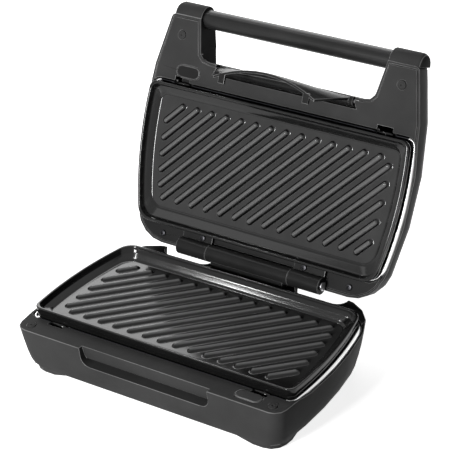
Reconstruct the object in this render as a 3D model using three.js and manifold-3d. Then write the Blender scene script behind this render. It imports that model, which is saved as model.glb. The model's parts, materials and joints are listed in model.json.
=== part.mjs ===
// Countertop sandwich and waffle maker with a hinged lid, in millimetres, +Z up.
// X runs along the hinge, the front faces -Y. Both halves are drawn in one "half frame": its
// origin is the plate's centre on the plane where the two plates meet, and -Z runs into the shell.
// The lid is its own half turned over about Y, and then swung open about the hinge.
import * as THREE from 'three';
import { mergeVertices } from 'three/addons/utils/BufferGeometryUtils.js';
import Module from 'manifold-3d';

const wasm = await Module();
wasm.setup();

// Main sizes: half the width, the front and the rear of the plate's rim, and what lies round it
const plateRimWidth = 128.4;
const plateRimFront = -58.4;
const plateRimRear = 61.6;
const openingGap = 2.9;
const openingRearGap = 1.4;
const wall = 2.2;
const fit = 0.3;
const overrun = 20;
const shortOverrun = 5;
const ledgeWidth = 19.7;
const rearDeck = 21.5;
const lidRearStep = 5.5;
const armReach = 36.4;
const openingFront = plateRimFront - openingGap;
const openingRear = plateRimRear + openingRearGap;
const halfWidth = plateRimWidth + openingGap + wall;
const baseFrontY = openingFront - ledgeWidth;
const baseRearY = openingRear + rearDeck;
const lidRearY = baseRearY - lidRearStep;
const barY = baseFrontY - armReach;

// Form of the two shells
const sideRadius = 330;
const widestY = -25;
const barDepth = 19.7;
const ledgeDrop = 8.2;
const shellDepth = 45.5;
const legHeight = 4.4;
const footHeight = 1.8;
const midHeight = shellDepth + legHeight + footHeight;
const ovalFlat = 0.03;
const frontCorner = 11;
const lowFrontCorner = 15;
const rearCorner = 42;
const lowRearCorner = 50;
const lidRearCorner = 30;
const armCorner = 4;
const leastCorner = 1.2;
const ledgeEdge = 1.2;

// Top edge of the side walls, which dips to the steel tray: shares of the opening's length and
// of the dip
const sideDrop = 4;
const sideEdgeShares = [[0.0265, 0], [0.171, 0.575], [0.493, 0.875], [0.895, 1], [0.976, 0]];

// How the base's walls lean in: share of the depth, then of the lean at side, rear and front
const sideLean = 8.4;
const rearLean = 12;
const frontLean = 5;
const baseLeanShares = [
  [1, 1, 1, 1],
  [0.95, 0.786, 0.792, 0.72],
  [0.835, 0.56, 0.575, 0.48],
  [0.66, 0.345, 0.35, 0.3],
  [0.44, 0.155, 0.167, 0.16],
];

// How the lid's sides round over: shares of the depth and of the lean at the side
const lidDepth = 48.5;
const lidSideLean = 40;
const lidLeanShares = [
  [1, 1], [0.965, 0.65], [0.891, 0.4125], [0.784, 0.2375], [0.639, 0.115], [0.433, 0.0375],
];

// The lid's outer line from the arm ends over the top to the rear wall: shares of its length
// and of its greatest depth
const lidCrown = 47.5;
const lidProfileShares = [
  [0, 0.632], [0.129, 0.699], [0.272, 0.874], [0.364, 0.945], [0.496, 0.985], [0.649, 1],
  [0.801, 0.981], [0.893, 0.918], [0.954, 0.804], [0.988, 0.632], [1, 0.421],
];
const noseDepth = 12;
const noseLength = 28.5;
const noseSteps = 6;

// Opening in the ledge, and the steel tray that hangs in it
const openingCorner = 8;
const openingRearCorner = 16;
const seatWidth = 2.6;
const seatThickness = 3.2;
const trayDepth = 25;
const trayFlangeDepth = 12.4;
const trayWallInset = 7;
const trayFloorInset = 9.5;
const traySheet = 0.8;
const trayBend = 1.2;

// Removable plate: how far each of its outlines lies inside the rim
const plateFootInset = 2;
const plateSkirtInset = 0.4;
const plateMouthInset = 2.4;
const plateShoulderInset = 3.7;
const plateFloorInset = 9;
const plateFloorRearInset = 11.6;
const plateShoulderDrop = 5.3;
const plateShoulderStep = 0.7;
const plateFloorDrop = 8.45;
const plateThickness = 3.5;
const plateSkirtRound = 2.6;
const plateCorner = 7;
const plateRearCorner = 13;
const plateSkirtWall = 3;
const plateRimRound = 0.8;
const plateFillet = 1.6;
const plateTabInset = 28.4;
const plateTabWidth = 14;
const plateTabThickness = 2.3;
const plateTabLength = 8;
const plateTabWindow = 4;
const plateTabX = plateRimWidth - plateTabInset;
const plateSkirtFront = plateRimFront + plateSkirtInset;

// Ribs of the plate, as many as its floor holds
const ribPitch = 15;
const ribEndGap = 9.1;
const ribSideGap = 10.1;
const ribHeight = 2.7;
const ribFootWidth = 5.2;
const ribTopWidth = 2.8;
const ribShoulder = 0.7;
const ribReach = -plateRimFront - plateFloorInset - ribEndGap;
const ribSideWidth = plateRimWidth - plateFloorInset - ribSideGap;

// Hinge
const hingeSetback = 12;
const hingeRise = 3.35;
const openAngle = 114;
const barrelRadius = 7.5;
const barrelSideGap = 92.5;
const knuckleLength = 30;
const hingePinRadius = 2.5;
const pinClearance = 0.3;
const pinOverhang = 1.5;
const barrelFootInset = 5;
const barrelFootFront = 6.5;
const barrelFootRear = 5.5;
const hingeSweep = 9;
const knuckleRootReach = 13.2;
const knuckleRootGap = 5;
const knuckleRootThickness = 3;
const knuckleNeckReach = 6.5;
const knuckleScrewReach = 10.5;
const frameScrewSideGap = 39.5;
const frameScrewSetback = 7.5;
const hingeY = openingRear + hingeSetback;
const barrelHalf = halfWidth - barrelSideGap;
const barrelFootHalf = barrelHalf - barrelFootInset;
const knuckleX = barrelHalf + knuckleLength / 3;
const knuckleScrewY = hingeY - knuckleScrewReach;
const frameScrewX = halfWidth - frameScrewSideGap;
const frameScrewY = openingRear + frameScrewSetback;

// Recess for the latch in the front of the base, and the notches at its rear
const recessSideGap = 71;
const recessSetback = 4;
const recessSlope = 3;
const recessLip = 21.5;
const recessDepth = 25.3;
const recessBack = 13;
const recessCorner = 8;
const notchGap = 0.5;
const notchWidth = 50.5;
const notchReach = 3;
const notchCorner = 10;
const recessHalf = halfWidth - recessSideGap;
const notchInner = barrelHalf + notchGap;
const notchOuter = notchInner + notchWidth;
const notchY = hingeY - notchReach;

// Corner legs, feet, the bottom cover and its screws
const legWidth = 49.5;
const legFrontLength = 31;
const legRearLength = 54.5;
const legSlope = 14;
const legSlopeSide = 5;
const footSideGap = 27.5;
const footFrontGap = 18;
const footRearGap = 41.5;
const footRadius = 7;
const footStem = 3;
const footStemLength = 3.4;
const coverThickness = 2.5;
const ventCount = 5;
const ventPitch = 12;
const ventWidth = 3.5;
const ventLength = 26;
const ventY = 34;
const bossRadius = 4.5;
const bossFrontSideGap = 59.5;
const bossFrontGap = 14;
const bossRearInset = 11.5;
const bossRearSetback = 1.5;
const beamPostInset = 22.5;
const screwShank = 1.5;
const screwHead = 2.7;
const screwHeadHeight = 1.4;
const screwLength = 12;
const screwPilot = 1.8;
const legInnerX = halfWidth - legWidth;
const legFrontY = baseFrontY + legFrontLength;
const legRearY = baseRearY - legRearLength;
const footX = halfWidth - footSideGap;
const footFrontY = baseFrontY + footFrontGap;
const footRearY = baseRearY - footRearGap;
const bossFrontX = halfWidth - bossFrontSideGap;
const bossFrontY = baseFrontY + bossFrontGap;
const bossRearX = notchInner - bossRearInset;
const bossRearY = openingRear + bossRearSetback;
const beamPostX = recessHalf - beamPostInset;

// Window between the arms, arm ends and handle bar
const windowSetback = 1.5;
const armWidth = 46.5;
const windowFlare = 4.5;
const windowCorner = 12;
const armEndRadius = 10.8;
const armEndRound = 4;
const barRadius = 8;
const barWall = 2;
const barSeat = 16;
const windowFoot = baseFrontY - windowSetback;
const windowHalfFoot = halfWidth - armWidth;
const windowHalfTip = windowHalfFoot + windowFlare;
const noseRearY = windowFoot + noseLength;

// Buttons, catches and their guides, plugs
const buttonSideGap = 38.5;
const buttonFrontGap = 10.6;
const buttonLength = 24;
const buttonWidth = 11;
const buttonDome = 0.7;
const buttonFlange = 1.1;
const buttonFlangeThickness = 1.4;
const buttonTravel = 2;
const postWidth = 6;
const postThickness = 3;
const postLength = 5.6;
const catchOffset = 3;
const catchWidth = 17;
const catchTop = 14.5;
const catchThickness = 3.2;
const catchNoseWidth = 9;
const catchNoseLength = 3.5;
const guideWall = 1.4;
const springOffset = 10.4;
const springRadius = 1.7;
const springBore = 1;
const plugRadius = 3.9;
const plugDome = 0.8;
const plugStem = 2.4;
const plugStemLength = 7;
const plugSeat = 1.3;
const basePlugSideGap = 15.2;
const basePlugFrontGap = 8.8;
const lidPlugSideGap = 25.9;
const lidPlugFrontGap = 16.9;
const buttonX = halfWidth - buttonSideGap;
const buttonY = baseFrontY + buttonFrontGap;
const catchX = plateTabX - catchOffset;
const springX = buttonX - springOffset;
const basePlugX = halfWidth - basePlugSideGap;
const basePlugY = baseFrontY + basePlugFrontGap;
const lidPlugX = halfWidth - lidPlugSideGap;
const lidPlugY = barY + lidPlugFrontGap;

// Latch, and the pocket between the arms that it turns in
const latchSideGap = 0.5;
const latchBowInset = 13;
const latchRootSetback = 1.7;
const latchEdgeSetback = 5.5;
const latchRootReach = 1.5;
const latchEdgeReach = 12;
const latchWall = 2.2;
const latchSteps = 10;
const latchRows = 5;
const latchPivotSetback = 4.1;
const latchPivotDepth = 13;
const latchBarrel = 3.5;
const latchAxleInset = 0.5;
const latchKnob = 4;
const latchEdge = 24;
const latchHookInset = 8;
const latchHookWidth = 6;
const latchHookBite = 2.3;
const latchHookOverlap = 3.4;
const latchPinRadius = 1.5;
const latchPinLength = 9;
const pocketSideGap = 4;
const pocketFlare = 5;
const pocketLength = 9.5;
const pocketDepth = 18.2;
const pocketWall = 1.8;
const latchHalf = recessHalf - latchSideGap;
const latchBowHalf = latchHalf - latchBowInset;
const latchHookX = latchBowHalf - latchHookInset;
const latchPivotY = windowFoot + latchPivotSetback;
const latchRootY = windowFoot + latchRootSetback;
const latchEdgeY = windowFoot + latchEdgeSetback;
const pocketHalf = latchHalf + pocketSideGap;
const pocketRear = windowFoot + pocketLength;
const latchAxle = pocketHalf - latchAxleInset;

// Heating elements, thermostats, fuse, terminals, cord inlet and indicators
const heaterRadius = 3.2;
const heaterSideInset = 36.4;
const heaterFrontInset = 22.4;
const heaterBend = 16;
const heaterLeadX = 14;
const heaterLead = 13;
const heaterBead = 3.9;
const heaterBeadLength = 5;
const heaterPin = 1.5;
const heaterPinLength = 7;
const clipWidth = 9;
const clipLength = 7;
const clipWall = 1.4;
const thermostatRadius = 8;
const thermostatHeight = 8;
const thermostatFlange = 12;
const thermostatFlangeThickness = 1;
const thermostatTab = 6.3;
const thermostatTabLength = 7;
const thermostatTabShare = 0.6;
const thermostatX = 30;
const thermostatY = 8;
const fuseRadius = 2.6;
const fuseLength = 34;
const fuseCap = 1.2;
const fuseCapLength = 4;
const fuseX = -38;
const fuseY = 12;
const blockLength = 36;
const blockWidth = 10;
const blockClearance = 9.5;
const blockHeight = shellDepth - trayDepth - blockClearance;
const blockPoles = 3;
const blockHole = 2.2;
const blockGrooveShare = 0.6;
const glandNeck = 6;
const glandCollar = 8.5;
const glandBore = 3.6;
const glandCollarLength = 4;
const glandInner = 3;
const glandBoss = 10;
const glandFaceInset = 1.6;
const glandBackInset = 8.5;
const glandDepth = 30;
const lensX = 15;
const lensSetback = 35.5;
const lensProud = 1;
const lensRadius = 2.9;
const lensTopShare = 0.6;
const lensRoundShare = 0.3;
const lensFlange = 4.4;
const lensFlangeThickness = 1.2;
const lensLength = 4.4;
const lampRadius = 2.1;
const lampLength = 8;
const boardLength = 46;
const boardWidth = 10;
const boardThickness = 1.6;
const heaterHalfX = plateRimWidth - heaterSideInset;
const heaterHalfY = -plateRimFront - heaterFrontInset;
const heaterLeadY = heaterHalfY + heaterLead;
const blockY = bossRearY - bossRadius - blockWidth / 2 - 2 * fit;
const lensY = windowFoot + lensSetback;

// Numbers of facets
const cornerSteps = 3;
const rearSteps = 4;
const sideSteps = 4;
const ribEndSteps = 3;
const roundSteps = 12;
const smallSteps = 8;
const tubeSteps = 16;
const heaterSides = 3;
const bendSteps = 2;

const rad = THREE.MathUtils.degToRad;

// Solids: a closed geometry becomes a manifold, is joined or cut, and comes back as a geometry
function solid(geometry) {
  const bare = geometry.clone();
  bare.deleteAttribute('normal');
  bare.deleteAttribute('uv');
  const merged = mergeVertices(bare);
  const vertProperties = new Float32Array(merged.attributes.position.array);
  const triVerts = new Uint32Array(merged.index.array);
  return new wasm.Manifold(new wasm.Mesh({ numProp: 3, vertProperties, triVerts }));
}

function geometryOf(manifold) {
  const mesh = manifold.getMesh();
  const geometry = new THREE.BufferGeometry();
  geometry.setAttribute('position', new THREE.BufferAttribute(new Float32Array(mesh.vertProperties), 3));
  geometry.setIndex(new THREE.BufferAttribute(new Uint32Array(mesh.triVerts), 1));
  geometry.computeVertexNormals();
  return geometry;
}

function join(first, ...others) {
  return others.reduce((sum, other) => sum.add(other), first);
}

function cut(first, ...tools) {
  return tools.reduce((rest, tool) => rest.subtract(tool), first);
}

// Basic solids, each placed by its centre or ends
function box(x0, x1, y0, y1, z0, z1) {
  const geometry = new THREE.BoxGeometry(Math.abs(x1 - x0), Math.abs(y1 - y0), Math.abs(z1 - z0));
  geometry.translate((x0 + x1) / 2, (y0 + y1) / 2, (z0 + z1) / 2);
  return solid(geometry);
}

function rodX(radius, x0, x1, y, z, steps = roundSteps) {
  const geometry = new THREE.CylinderGeometry(radius, radius, Math.abs(x1 - x0), steps);
  geometry.rotateZ(Math.PI / 2);
  geometry.translate((x0 + x1) / 2, y, z);
  return solid(geometry);
}

function rodZ(radius, x, y, z0, z1, steps = roundSteps) {
  const geometry = new THREE.CylinderGeometry(radius, radius, Math.abs(z1 - z0), steps);
  geometry.rotateX(Math.PI / 2);
  geometry.translate(x, y, (z0 + z1) / 2);
  return solid(geometry);
}

// A body of revolution about a line through (x, y) along Z; the profile lists [radius, z]
function turned(profile, x, y, steps = roundSteps) {
  const geometry = new THREE.LatheGeometry(profile.map(([r, z]) => new THREE.Vector2(r, z)), steps);
  geometry.rotateX(Math.PI / 2);
  geometry.translate(x, y, 0);
  return solid(geometry);
}

// A flat shape in X and Y, raised from z0 to z1
function prism(shape, z0, z1, steps = cornerSteps) {
  const geometry = new THREE.ExtrudeGeometry(shape, {
    depth: z1 - z0, bevelEnabled: false, curveSegments: steps,
  });
  geometry.translate(0, 0, z0);
  return solid(geometry);
}

// A flat shape in X (its x) and Z (its y), run from y0 to y1
function prismAlongY(shape, y0, y1, steps = cornerSteps) {
  const geometry = new THREE.ExtrudeGeometry(shape, {
    depth: y1 - y0, bevelEnabled: false, curveSegments: steps,
  });
  geometry.rotateX(Math.PI / 2);
  geometry.translate(0, y1, 0);
  return solid(geometry);
}

// A flat shape in Y (its x) and Z (its y), run from x0 to x1
function prismAlongX(shape, x0, x1, steps = cornerSteps) {
  const geometry = new THREE.ExtrudeGeometry(shape, {
    depth: x1 - x0, bevelEnabled: false, curveSegments: steps,
  });
  geometry.rotateX(Math.PI / 2);
  geometry.rotateZ(Math.PI / 2);
  geometry.translate(x0, 0, 0);
  return solid(geometry);
}

function polygon(points) {
  return new THREE.Shape(points.map(([x, y]) => new THREE.Vector2(x, y)));
}

function roundedRect(x0, x1, y0, y1, radius) {
  const shape = new THREE.Shape();
  shape.moveTo(x0 + radius, y0);
  shape.lineTo(x1 - radius, y0);
  shape.absarc(x1 - radius, y0 + radius, radius, -Math.PI / 2, 0, false);
  shape.lineTo(x1, y1 - radius);
  shape.absarc(x1 - radius, y1 - radius, radius, 0, Math.PI / 2, false);
  shape.lineTo(x0 + radius, y1);
  shape.absarc(x0 + radius, y1 - radius, radius, Math.PI / 2, Math.PI, false);
  shape.lineTo(x0, y0 + radius);
  shape.absarc(x0 + radius, y0 + radius, radius, Math.PI, Math.PI * 1.5, false);
  return shape;
}

// The outline that every shell, tray and plate shares: straight front and rear, bowed sides
function outline({ width, front, rear, frontR, rearR }) {
  const centreX = width - sideRadius;
  const corner = (y, radius) => {
    const across = Math.sqrt((sideRadius - radius) ** 2 - (y - widestY) ** 2);
    return { x: centreX + across, y, turn: Math.atan2(y - widestY, across) };
  };
  const low = corner(front + frontR, frontR);
  const high = corner(rear - rearR, rearR);
  const right = [];
  const arc = (x, y, radius, from, to, steps, first, last) => {
    for (let i = first; i <= last; i += 1) {
      const angle = from + ((to - from) * i) / steps;
      right.push([x + radius * Math.cos(angle), y + radius * Math.sin(angle)]);
    }
  };
  arc(low.x, low.y, frontR, -Math.PI / 2, low.turn, cornerSteps, 0, cornerSteps);
  arc(centreX, widestY, sideRadius, low.turn, high.turn, sideSteps, 1, sideSteps - 1);
  arc(high.x, high.y, rearR, high.turn, Math.PI / 2, rearSteps, 0, rearSteps);
  const left = right.map(([x, y]) => [-x, y]).reverse();
  return [...right, ...left];
}

function inset(form, side, end = side) {
  const less = Math.min(side, end);
  return {
    width: form.width - side,
    front: form.front + end,
    rear: form.rear - end,
    frontR: Math.max(form.frontR - less, leastCorner),
    rearR: Math.max(form.rearR - less, leastCorner),
  };
}

// A closed solid through outlines at rising heights; levels lists [form, z]
function loft(levels) {
  const rings = levels.map(([form, z]) => outline(form).map(([x, y]) => [x, y, z]));
  const count = rings[0].length;
  const faces = THREE.ShapeUtils.triangulateShape(rings[0].map(([x, y]) => new THREE.Vector2(x, y)), []);
  const lastStart = (rings.length - 1) * count;
  const index = [];
  faces.forEach(([a, b, c]) => index.push(a, c, b));
  rings.slice(1).forEach((_, k) => {
    for (let i = 0; i < count; i += 1) {
      const next = (i + 1) % count;
      const a = k * count + i;
      const b = k * count + next;
      index.push(a, b, b + count, a, b + count, a + count);
    }
  });
  const topFaces = THREE.ShapeUtils.triangulateShape(
    rings[rings.length - 1].map(([x, y]) => new THREE.Vector2(x, y)), []);
  topFaces.forEach(([a, b, c]) => index.push(lastStart + a, lastStart + b, lastStart + c));
  const geometry = new THREE.BufferGeometry();
  geometry.setAttribute('position', new THREE.Float32BufferAttribute(rings.flat(2), 3));
  geometry.setIndex(index);
  return solid(geometry);
}

const outlinePrism = (form, z0, z1) => loft([[form, z0], [form, z1]]);

const baseForm = {
  width: halfWidth, front: baseFrontY, rear: baseRearY, frontR: frontCorner, rearR: rearCorner,
};
const lidForm = {
  width: halfWidth, front: barY, rear: lidRearY, frontR: armCorner, rearR: lidRearCorner,
};
const openingForm = {
  width: halfWidth - wall, front: openingFront, rear: openingRear,
  frontR: openingCorner, rearR: openingRearCorner,
};

// Base housing: a tub with a ledge, hollow from below, on four corner legs
const ledgeFrontLean = frontLean * baseLeanShares[baseLeanShares.length - 1][3];

function baseLevels(thickness) {
  return baseLeanShares.map(([depth, side, rear, front], i) => {
    const share = 1 - i / baseLeanShares.length;
    return [inset({
      width: baseForm.width - side * sideLean,
      front: baseForm.front + front * frontLean,
      rear: baseForm.rear - rear * rearLean,
      frontR: baseForm.frontR + (lowFrontCorner - baseForm.frontR) * share,
      rearR: baseForm.rearR + (lowRearCorner - baseForm.rearR) * share,
    }, thickness), -depth * shellDepth];
  });
}

// Every second entry of a list and its last one, for walls that nobody sees
function sparse(list) {
  return list.filter((_, i) => i % 2 === 0 || i === list.length - 1);
}

// What is taken off the top edge of the side walls, where it dips to the steel tray
function sideDip() {
  const line = sideEdgeShares.map(([along, down]) => [
    openingFront + along * (openingRear - openingFront), -ledgeDrop - down * sideDrop]);
  const dip = polygon([...line, [line[line.length - 1][0], overrun], [line[0][0], overrun]]);
  return [-1, 1].map((side) => {
    const outer = side * (halfWidth + overrun);
    const inner = side * (plateRimWidth - plateFloorInset);
    return prismAlongX(dip, Math.min(outer, inner), Math.max(outer, inner));
  });
}

// Beam round the opening, with the step that the tray's flange rests on
function traySeat(top, posts = []) {
  const low = -trayFlangeDepth - fit - seatThickness;
  return cut(
    join(outlinePrism(inset(openingForm, -wall / 2), low, top), ...posts),
    outlinePrism(openingForm, -trayFlangeDepth - fit, overrun),
    outlinePrism(inset(openingForm, seatWidth), low - overrun, overrun),
    ...tabSlots());
}

function tabSlots() {
  return [-1, 1].map((side) => {
    const [x0, x1, y0, y1] = tabNotch(side);
    return box(x0, x1, y0 - 2 * wall, y1, -shellDepth, overrun);
  });
}

function oval(x, y, length, width) {
  const radius = Math.min(length, width) / 2 - ovalFlat;
  return roundedRect(x - length / 2, x + length / 2, y - width / 2, y + width / 2, radius);
}

function tabNotch(side) {
  const x = side * plateTabX;
  const half = plateTabWidth / 2 + fit;
  const front = plateSkirtFront - plateTabThickness;
  return [x - half, x + half, front - fit, plateSkirtFront + plateTabThickness + fit];
}

function baseHousing() {
  const edgeMid = ledgeEdge * (1 - Math.SQRT1_2);
  const levels = baseLevels(0);
  const foot = levels[0][0];
  const outer = loft([
    [inset(foot, ledgeEdge), -shellDepth - legHeight],
    ...levels,
    [baseForm, -ledgeDrop - ledgeEdge],
    [inset(baseForm, edgeMid), -ledgeDrop - edgeMid],
    [inset(baseForm, ledgeEdge), -ledgeDrop],
  ]);
  const recessInner = baseFrontY + recessBack;
  const keep = join(
    box(-recessHalf - wall, recessHalf + wall, baseFrontY - overrun, recessInner + wall,
      -recessDepth - wall, 0),
    ...[-1, 1].map((side) => box(side * (notchInner - wall), side * (notchOuter + wall),
      notchY - wall, baseRearY + overrun, -shellDepth - overrun, 0)),
  );
  const cavity = cut(
    loft([...sparse(baseLevels(wall)), [inset(baseForm, wall), -ledgeDrop - wall]]), keep);
  const bosses = coverScrewPlaces().map(([x, y]) => rodZ(
    bossRadius, x, y, -shellDepth + coverThickness + 2 * fit, -ledgeDrop, smallSteps));
  const pilots = coverScrewPlaces().map(([x, y]) => rodZ(
    screwPilot, x, y, -shellDepth, -shellDepth + coverThickness + screwLength, smallSteps));
  const recessFace = baseFrontY + recessSetback;
  const recess = prismAlongX(polygon([
    [baseFrontY - overrun, -recessDepth], [recessInner, -recessDepth], [recessInner, -recessLip],
    [recessFace + recessSlope, -recessLip], [recessFace, -ledgeDrop], [recessFace, overrun],
    [baseFrontY - overrun, overrun],
  ]), -recessHalf, recessHalf).intersect(prismAlongY(
    roundedRect(-recessHalf, recessHalf, -recessDepth, 2 * overrun, recessCorner),
    baseFrontY - overrun, recessInner + overrun));
  const notches = [-1, 1].map((side) => {
    const x0 = Math.min(side * notchInner, side * notchOuter);
    const shape = roundedRect(x0, x0 + notchOuter - notchInner, notchY, baseRearY + overrun, notchCorner);
    return prism(shape, -shellDepth - overrun, 0);
  });
  const legFoot = -shellDepth - legHeight;
  const between = (low, high, slope) => polygon([
    [low - slope, legFoot - overrun], [high + slope, legFoot - overrun], [high + slope, legFoot],
    [high, -shellDepth], [low, -shellDepth], [low - slope, legFoot],
  ]);
  const legGaps = [
    prismAlongY(between(-legInnerX, legInnerX, legSlope), baseFrontY - overrun, baseRearY + overrun),
    prismAlongX(between(legFrontY, legRearY, legSlopeSide), -halfWidth - overrun, halfWidth + overrun),
  ];
  const footHoles = footPlaces().map(([x, y]) => rodZ(
    footStem + fit, x, y, legFoot - overrun, legFoot + footStemLength + fit, smallSteps));
  const ledgeHoles = [
    outlinePrism(openingForm, -trayFlangeDepth - fit, overrun),
    prism(oval(buttonX, buttonY, buttonLength + 2 * fit, buttonWidth + 2 * fit),
      -ledgeDrop - wall - fit, overrun),
    ...plugHoles(basePlugX, basePlugY),
    ...tabSlots(),
  ];
  const inlet = rodY(glandNeck + fit, 0, baseRearY - overrun, baseRearY + overrun, -glandDepth);
  const inletBoss = rodY(glandBoss, 0, baseRearY - glandBackInset, baseRearY - glandFaceInset, -glandDepth);
  const hollow = join(cut(outer, cut(cavity, ...bosses)), inletBoss);
  const shell = cut(hollow, recess, ...notches, ...legGaps, ...footHoles);
  const framed = join(cut(shell, ...ledgeHoles), traySeat(-ledgeDrop - wall / 2).intersect(outer));
  return cut(framed, ...sideDip(), ...pilots, inlet);
}

// Stepped holes that the round plugs sit in
function plugHoles(x, y) {
  return [-1, 1].map((side) => join(
    rodZ(plugRadius + fit, side * x, y, -ledgeDrop - plugSeat, overrun),
    rodZ(plugStem + fit, side * x, y, -ledgeDrop - shortOverrun, overrun, smallSteps)));
}

function rodY(radius, x, y0, y1, z, steps = roundSteps) {
  const geometry = new THREE.CylinderGeometry(radius, radius, Math.abs(y1 - y0), steps);
  geometry.translate(x, (y0 + y1) / 2, z);
  return solid(geometry);
}

function footPlaces() {
  return [[-footX, footFrontY], [footX, footFrontY], [-footX, footRearY], [footX, footRearY]];
}

// Rubber foot: a disc with a stem that plugs into the leg
function rubberFoot(x, y) {
  const floor = -midHeight;
  const seat = floor + footHeight - fit;
  return turned([
    [0, floor], [footRadius - ledgeEdge, floor], [footRadius, floor + ledgeEdge / 2],
    [footRadius - ledgeEdge / 2, seat], [footStem, seat], [footStem, seat + footStemLength],
    [0, seat + footStemLength],
  ], x, y);
}

function coverForm() {
  const form = inset(baseLevels(wall)[0][0], fit);
  return { ...form, rear: notchY - wall - fit };
}

// Bottom cover with two rows of vent slots and four counterbored screw holes
function bottomCover() {
  const low = -shellDepth + fit;
  const high = low + coverThickness;
  const plate = outlinePrism(coverForm(), low, high);
  const slots = [];
  [-1, 1].forEach((row) => {
    for (let i = 0; i < ventCount; i += 1) {
      const x = (i - (ventCount - 1) / 2) * ventPitch;
      const y = row * ventY;
      slots.push(box(x - ventWidth / 2, x + ventWidth / 2, y - ventLength / 2, y + ventLength / 2,
        low - overrun, high + overrun));
    }
  });
  const recessClear = box(-recessHalf - wall - fit, recessHalf + wall + fit, baseFrontY - overrun,
    baseFrontY + recessBack + wall + fit, -recessDepth - wall - fit, 0);
  const holes = coverScrewPlaces().map(([x, y]) => join(
    rodZ(screwShank + fit, x, y, low - overrun, high + overrun, smallSteps),
    rodZ(screwHead + fit, x, y, low - overrun, low + screwHeadHeight, smallSteps)));
  return cut(plate, recessClear, ...slots, ...holes);
}

function coverScrewPlaces() {
  return [[bossFrontX, bossFrontY], [bossRearX, bossRearY]]
    .flatMap(([x, y]) => [[-x, y], [x, y]]);
}

function coverScrew([x, y]) {
  const head = -shellDepth + fit + screwHeadHeight;
  return turned([
    [0, head - screwHeadHeight], [screwHead, head - screwHeadHeight], [screwHead, head - fit],
    [screwShank, head - fit], [screwShank, head + screwLength], [0, head + screwLength],
  ], x, y, smallSteps);
}

// Steel tray: a bright flange round the plate, and a pan that carries the heater
function reflectorTray() {
  const pan = (deeper, thicker) => [
    [inset(openingForm, trayFloorInset + thicker), -trayDepth + deeper],
    [inset(openingForm, trayWallInset + fit + thicker), -trayDepth + trayBend + deeper],
  ];
  const outer = loft([
    ...pan(0, 0),
    [inset(openingForm, trayWallInset), -trayFlangeDepth],
    [inset(openingForm, fit), -trayFlangeDepth],
    [inset(openingForm, fit), -trayFlangeDepth + traySheet],
  ]);
  const inner = loft([
    ...pan(traySheet, traySheet),
    [inset(openingForm, trayWallInset + traySheet), -trayFlangeDepth + traySheet + overrun],
  ]);
  const slots = [-1, 1].map((side) => {
    const [x0, x1, y0, y1] = tabNotch(side);
    return box(x0, x1, y0 - overrun, y1, -trayFlangeDepth - plateTabLength, overrun);
  });
  const stat = rodZ(thermostatRadius / 2, thermostatX, thermostatY,
    -trayDepth - overrun, -trayDepth + shortOverrun);
  return cut(outer, inner, ...slots, stat);
}

// Ribbed plate: floor, sloping inner walls, rim, skirt, tabs, and ribs that run at 45 degrees
function plateForm(less, rearLess = less) {
  return {
    width: plateRimWidth - less,
    front: plateRimFront + less,
    rear: plateRimRear - rearLess,
    frontR: plateCorner,
    rearR: plateRearCorner,
  };
}

// Where a rib on the line x = start + y leaves the bowed field that the ribs fill
function ribSpan(start) {
  const leftRoot = sideRadius ** 2 + 2 * sideRadius * (widestY + start + ribSideWidth);
  const rightRoot = sideRadius ** 2 - 2 * sideRadius * (widestY + start - ribSideWidth);
  const leftY = widestY + sideRadius - Math.sqrt(leftRoot);
  const rightY = widestY - sideRadius + Math.sqrt(rightRoot);
  return [Math.max(-ribReach, leftY), Math.min(ribReach, rightY)];
}

function rib(start) {
  const [low, high] = ribSpan(start);
  const half = ((high - low) * Math.SQRT2) / 2;
  const floor = -plateFloorDrop;
  const stadium = (width, z) => {
    const points = [];
    [1, -1].forEach((end) => {
      for (let i = 0; i <= ribEndSteps; i += 1) {
        const angle = -Math.PI / 2 + (Math.PI * i) / ribEndSteps;
        points.push([end * (half + (width / 2) * Math.cos(angle)), (end * width * Math.sin(angle)) / 2, z]);
      }
    });
    return points;
  };
  const rings = [
    stadium(ribFootWidth, floor - ribShoulder),
    stadium(ribFootWidth, floor),
    stadium(ribTopWidth, floor + ribHeight),
  ];
  const count = rings[0].length;
  const index = [];
  for (let i = 1; i < count - 1; i += 1) {
    index.push(0, i + 1, i);
    const top = (rings.length - 1) * count;
    index.push(top, top + i, top + i + 1);
  }
  for (let k = 0; k < rings.length - 1; k += 1) {
    for (let i = 0; i < count; i += 1) {
      const a = k * count + i;
      const b = k * count + ((i + 1) % count);
      index.push(a, b, b + count, a, b + count, a + count);
    }
  }
  const geometry = new THREE.BufferGeometry();
  geometry.setAttribute('position', new THREE.Float32BufferAttribute(rings.flat(2), 3));
  geometry.setIndex(index);
  geometry.rotateZ(Math.PI / 4);
  const middle = (low + high) / 2;
  geometry.translate(start + middle, middle, 0);
  return solid(geometry);
}

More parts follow.
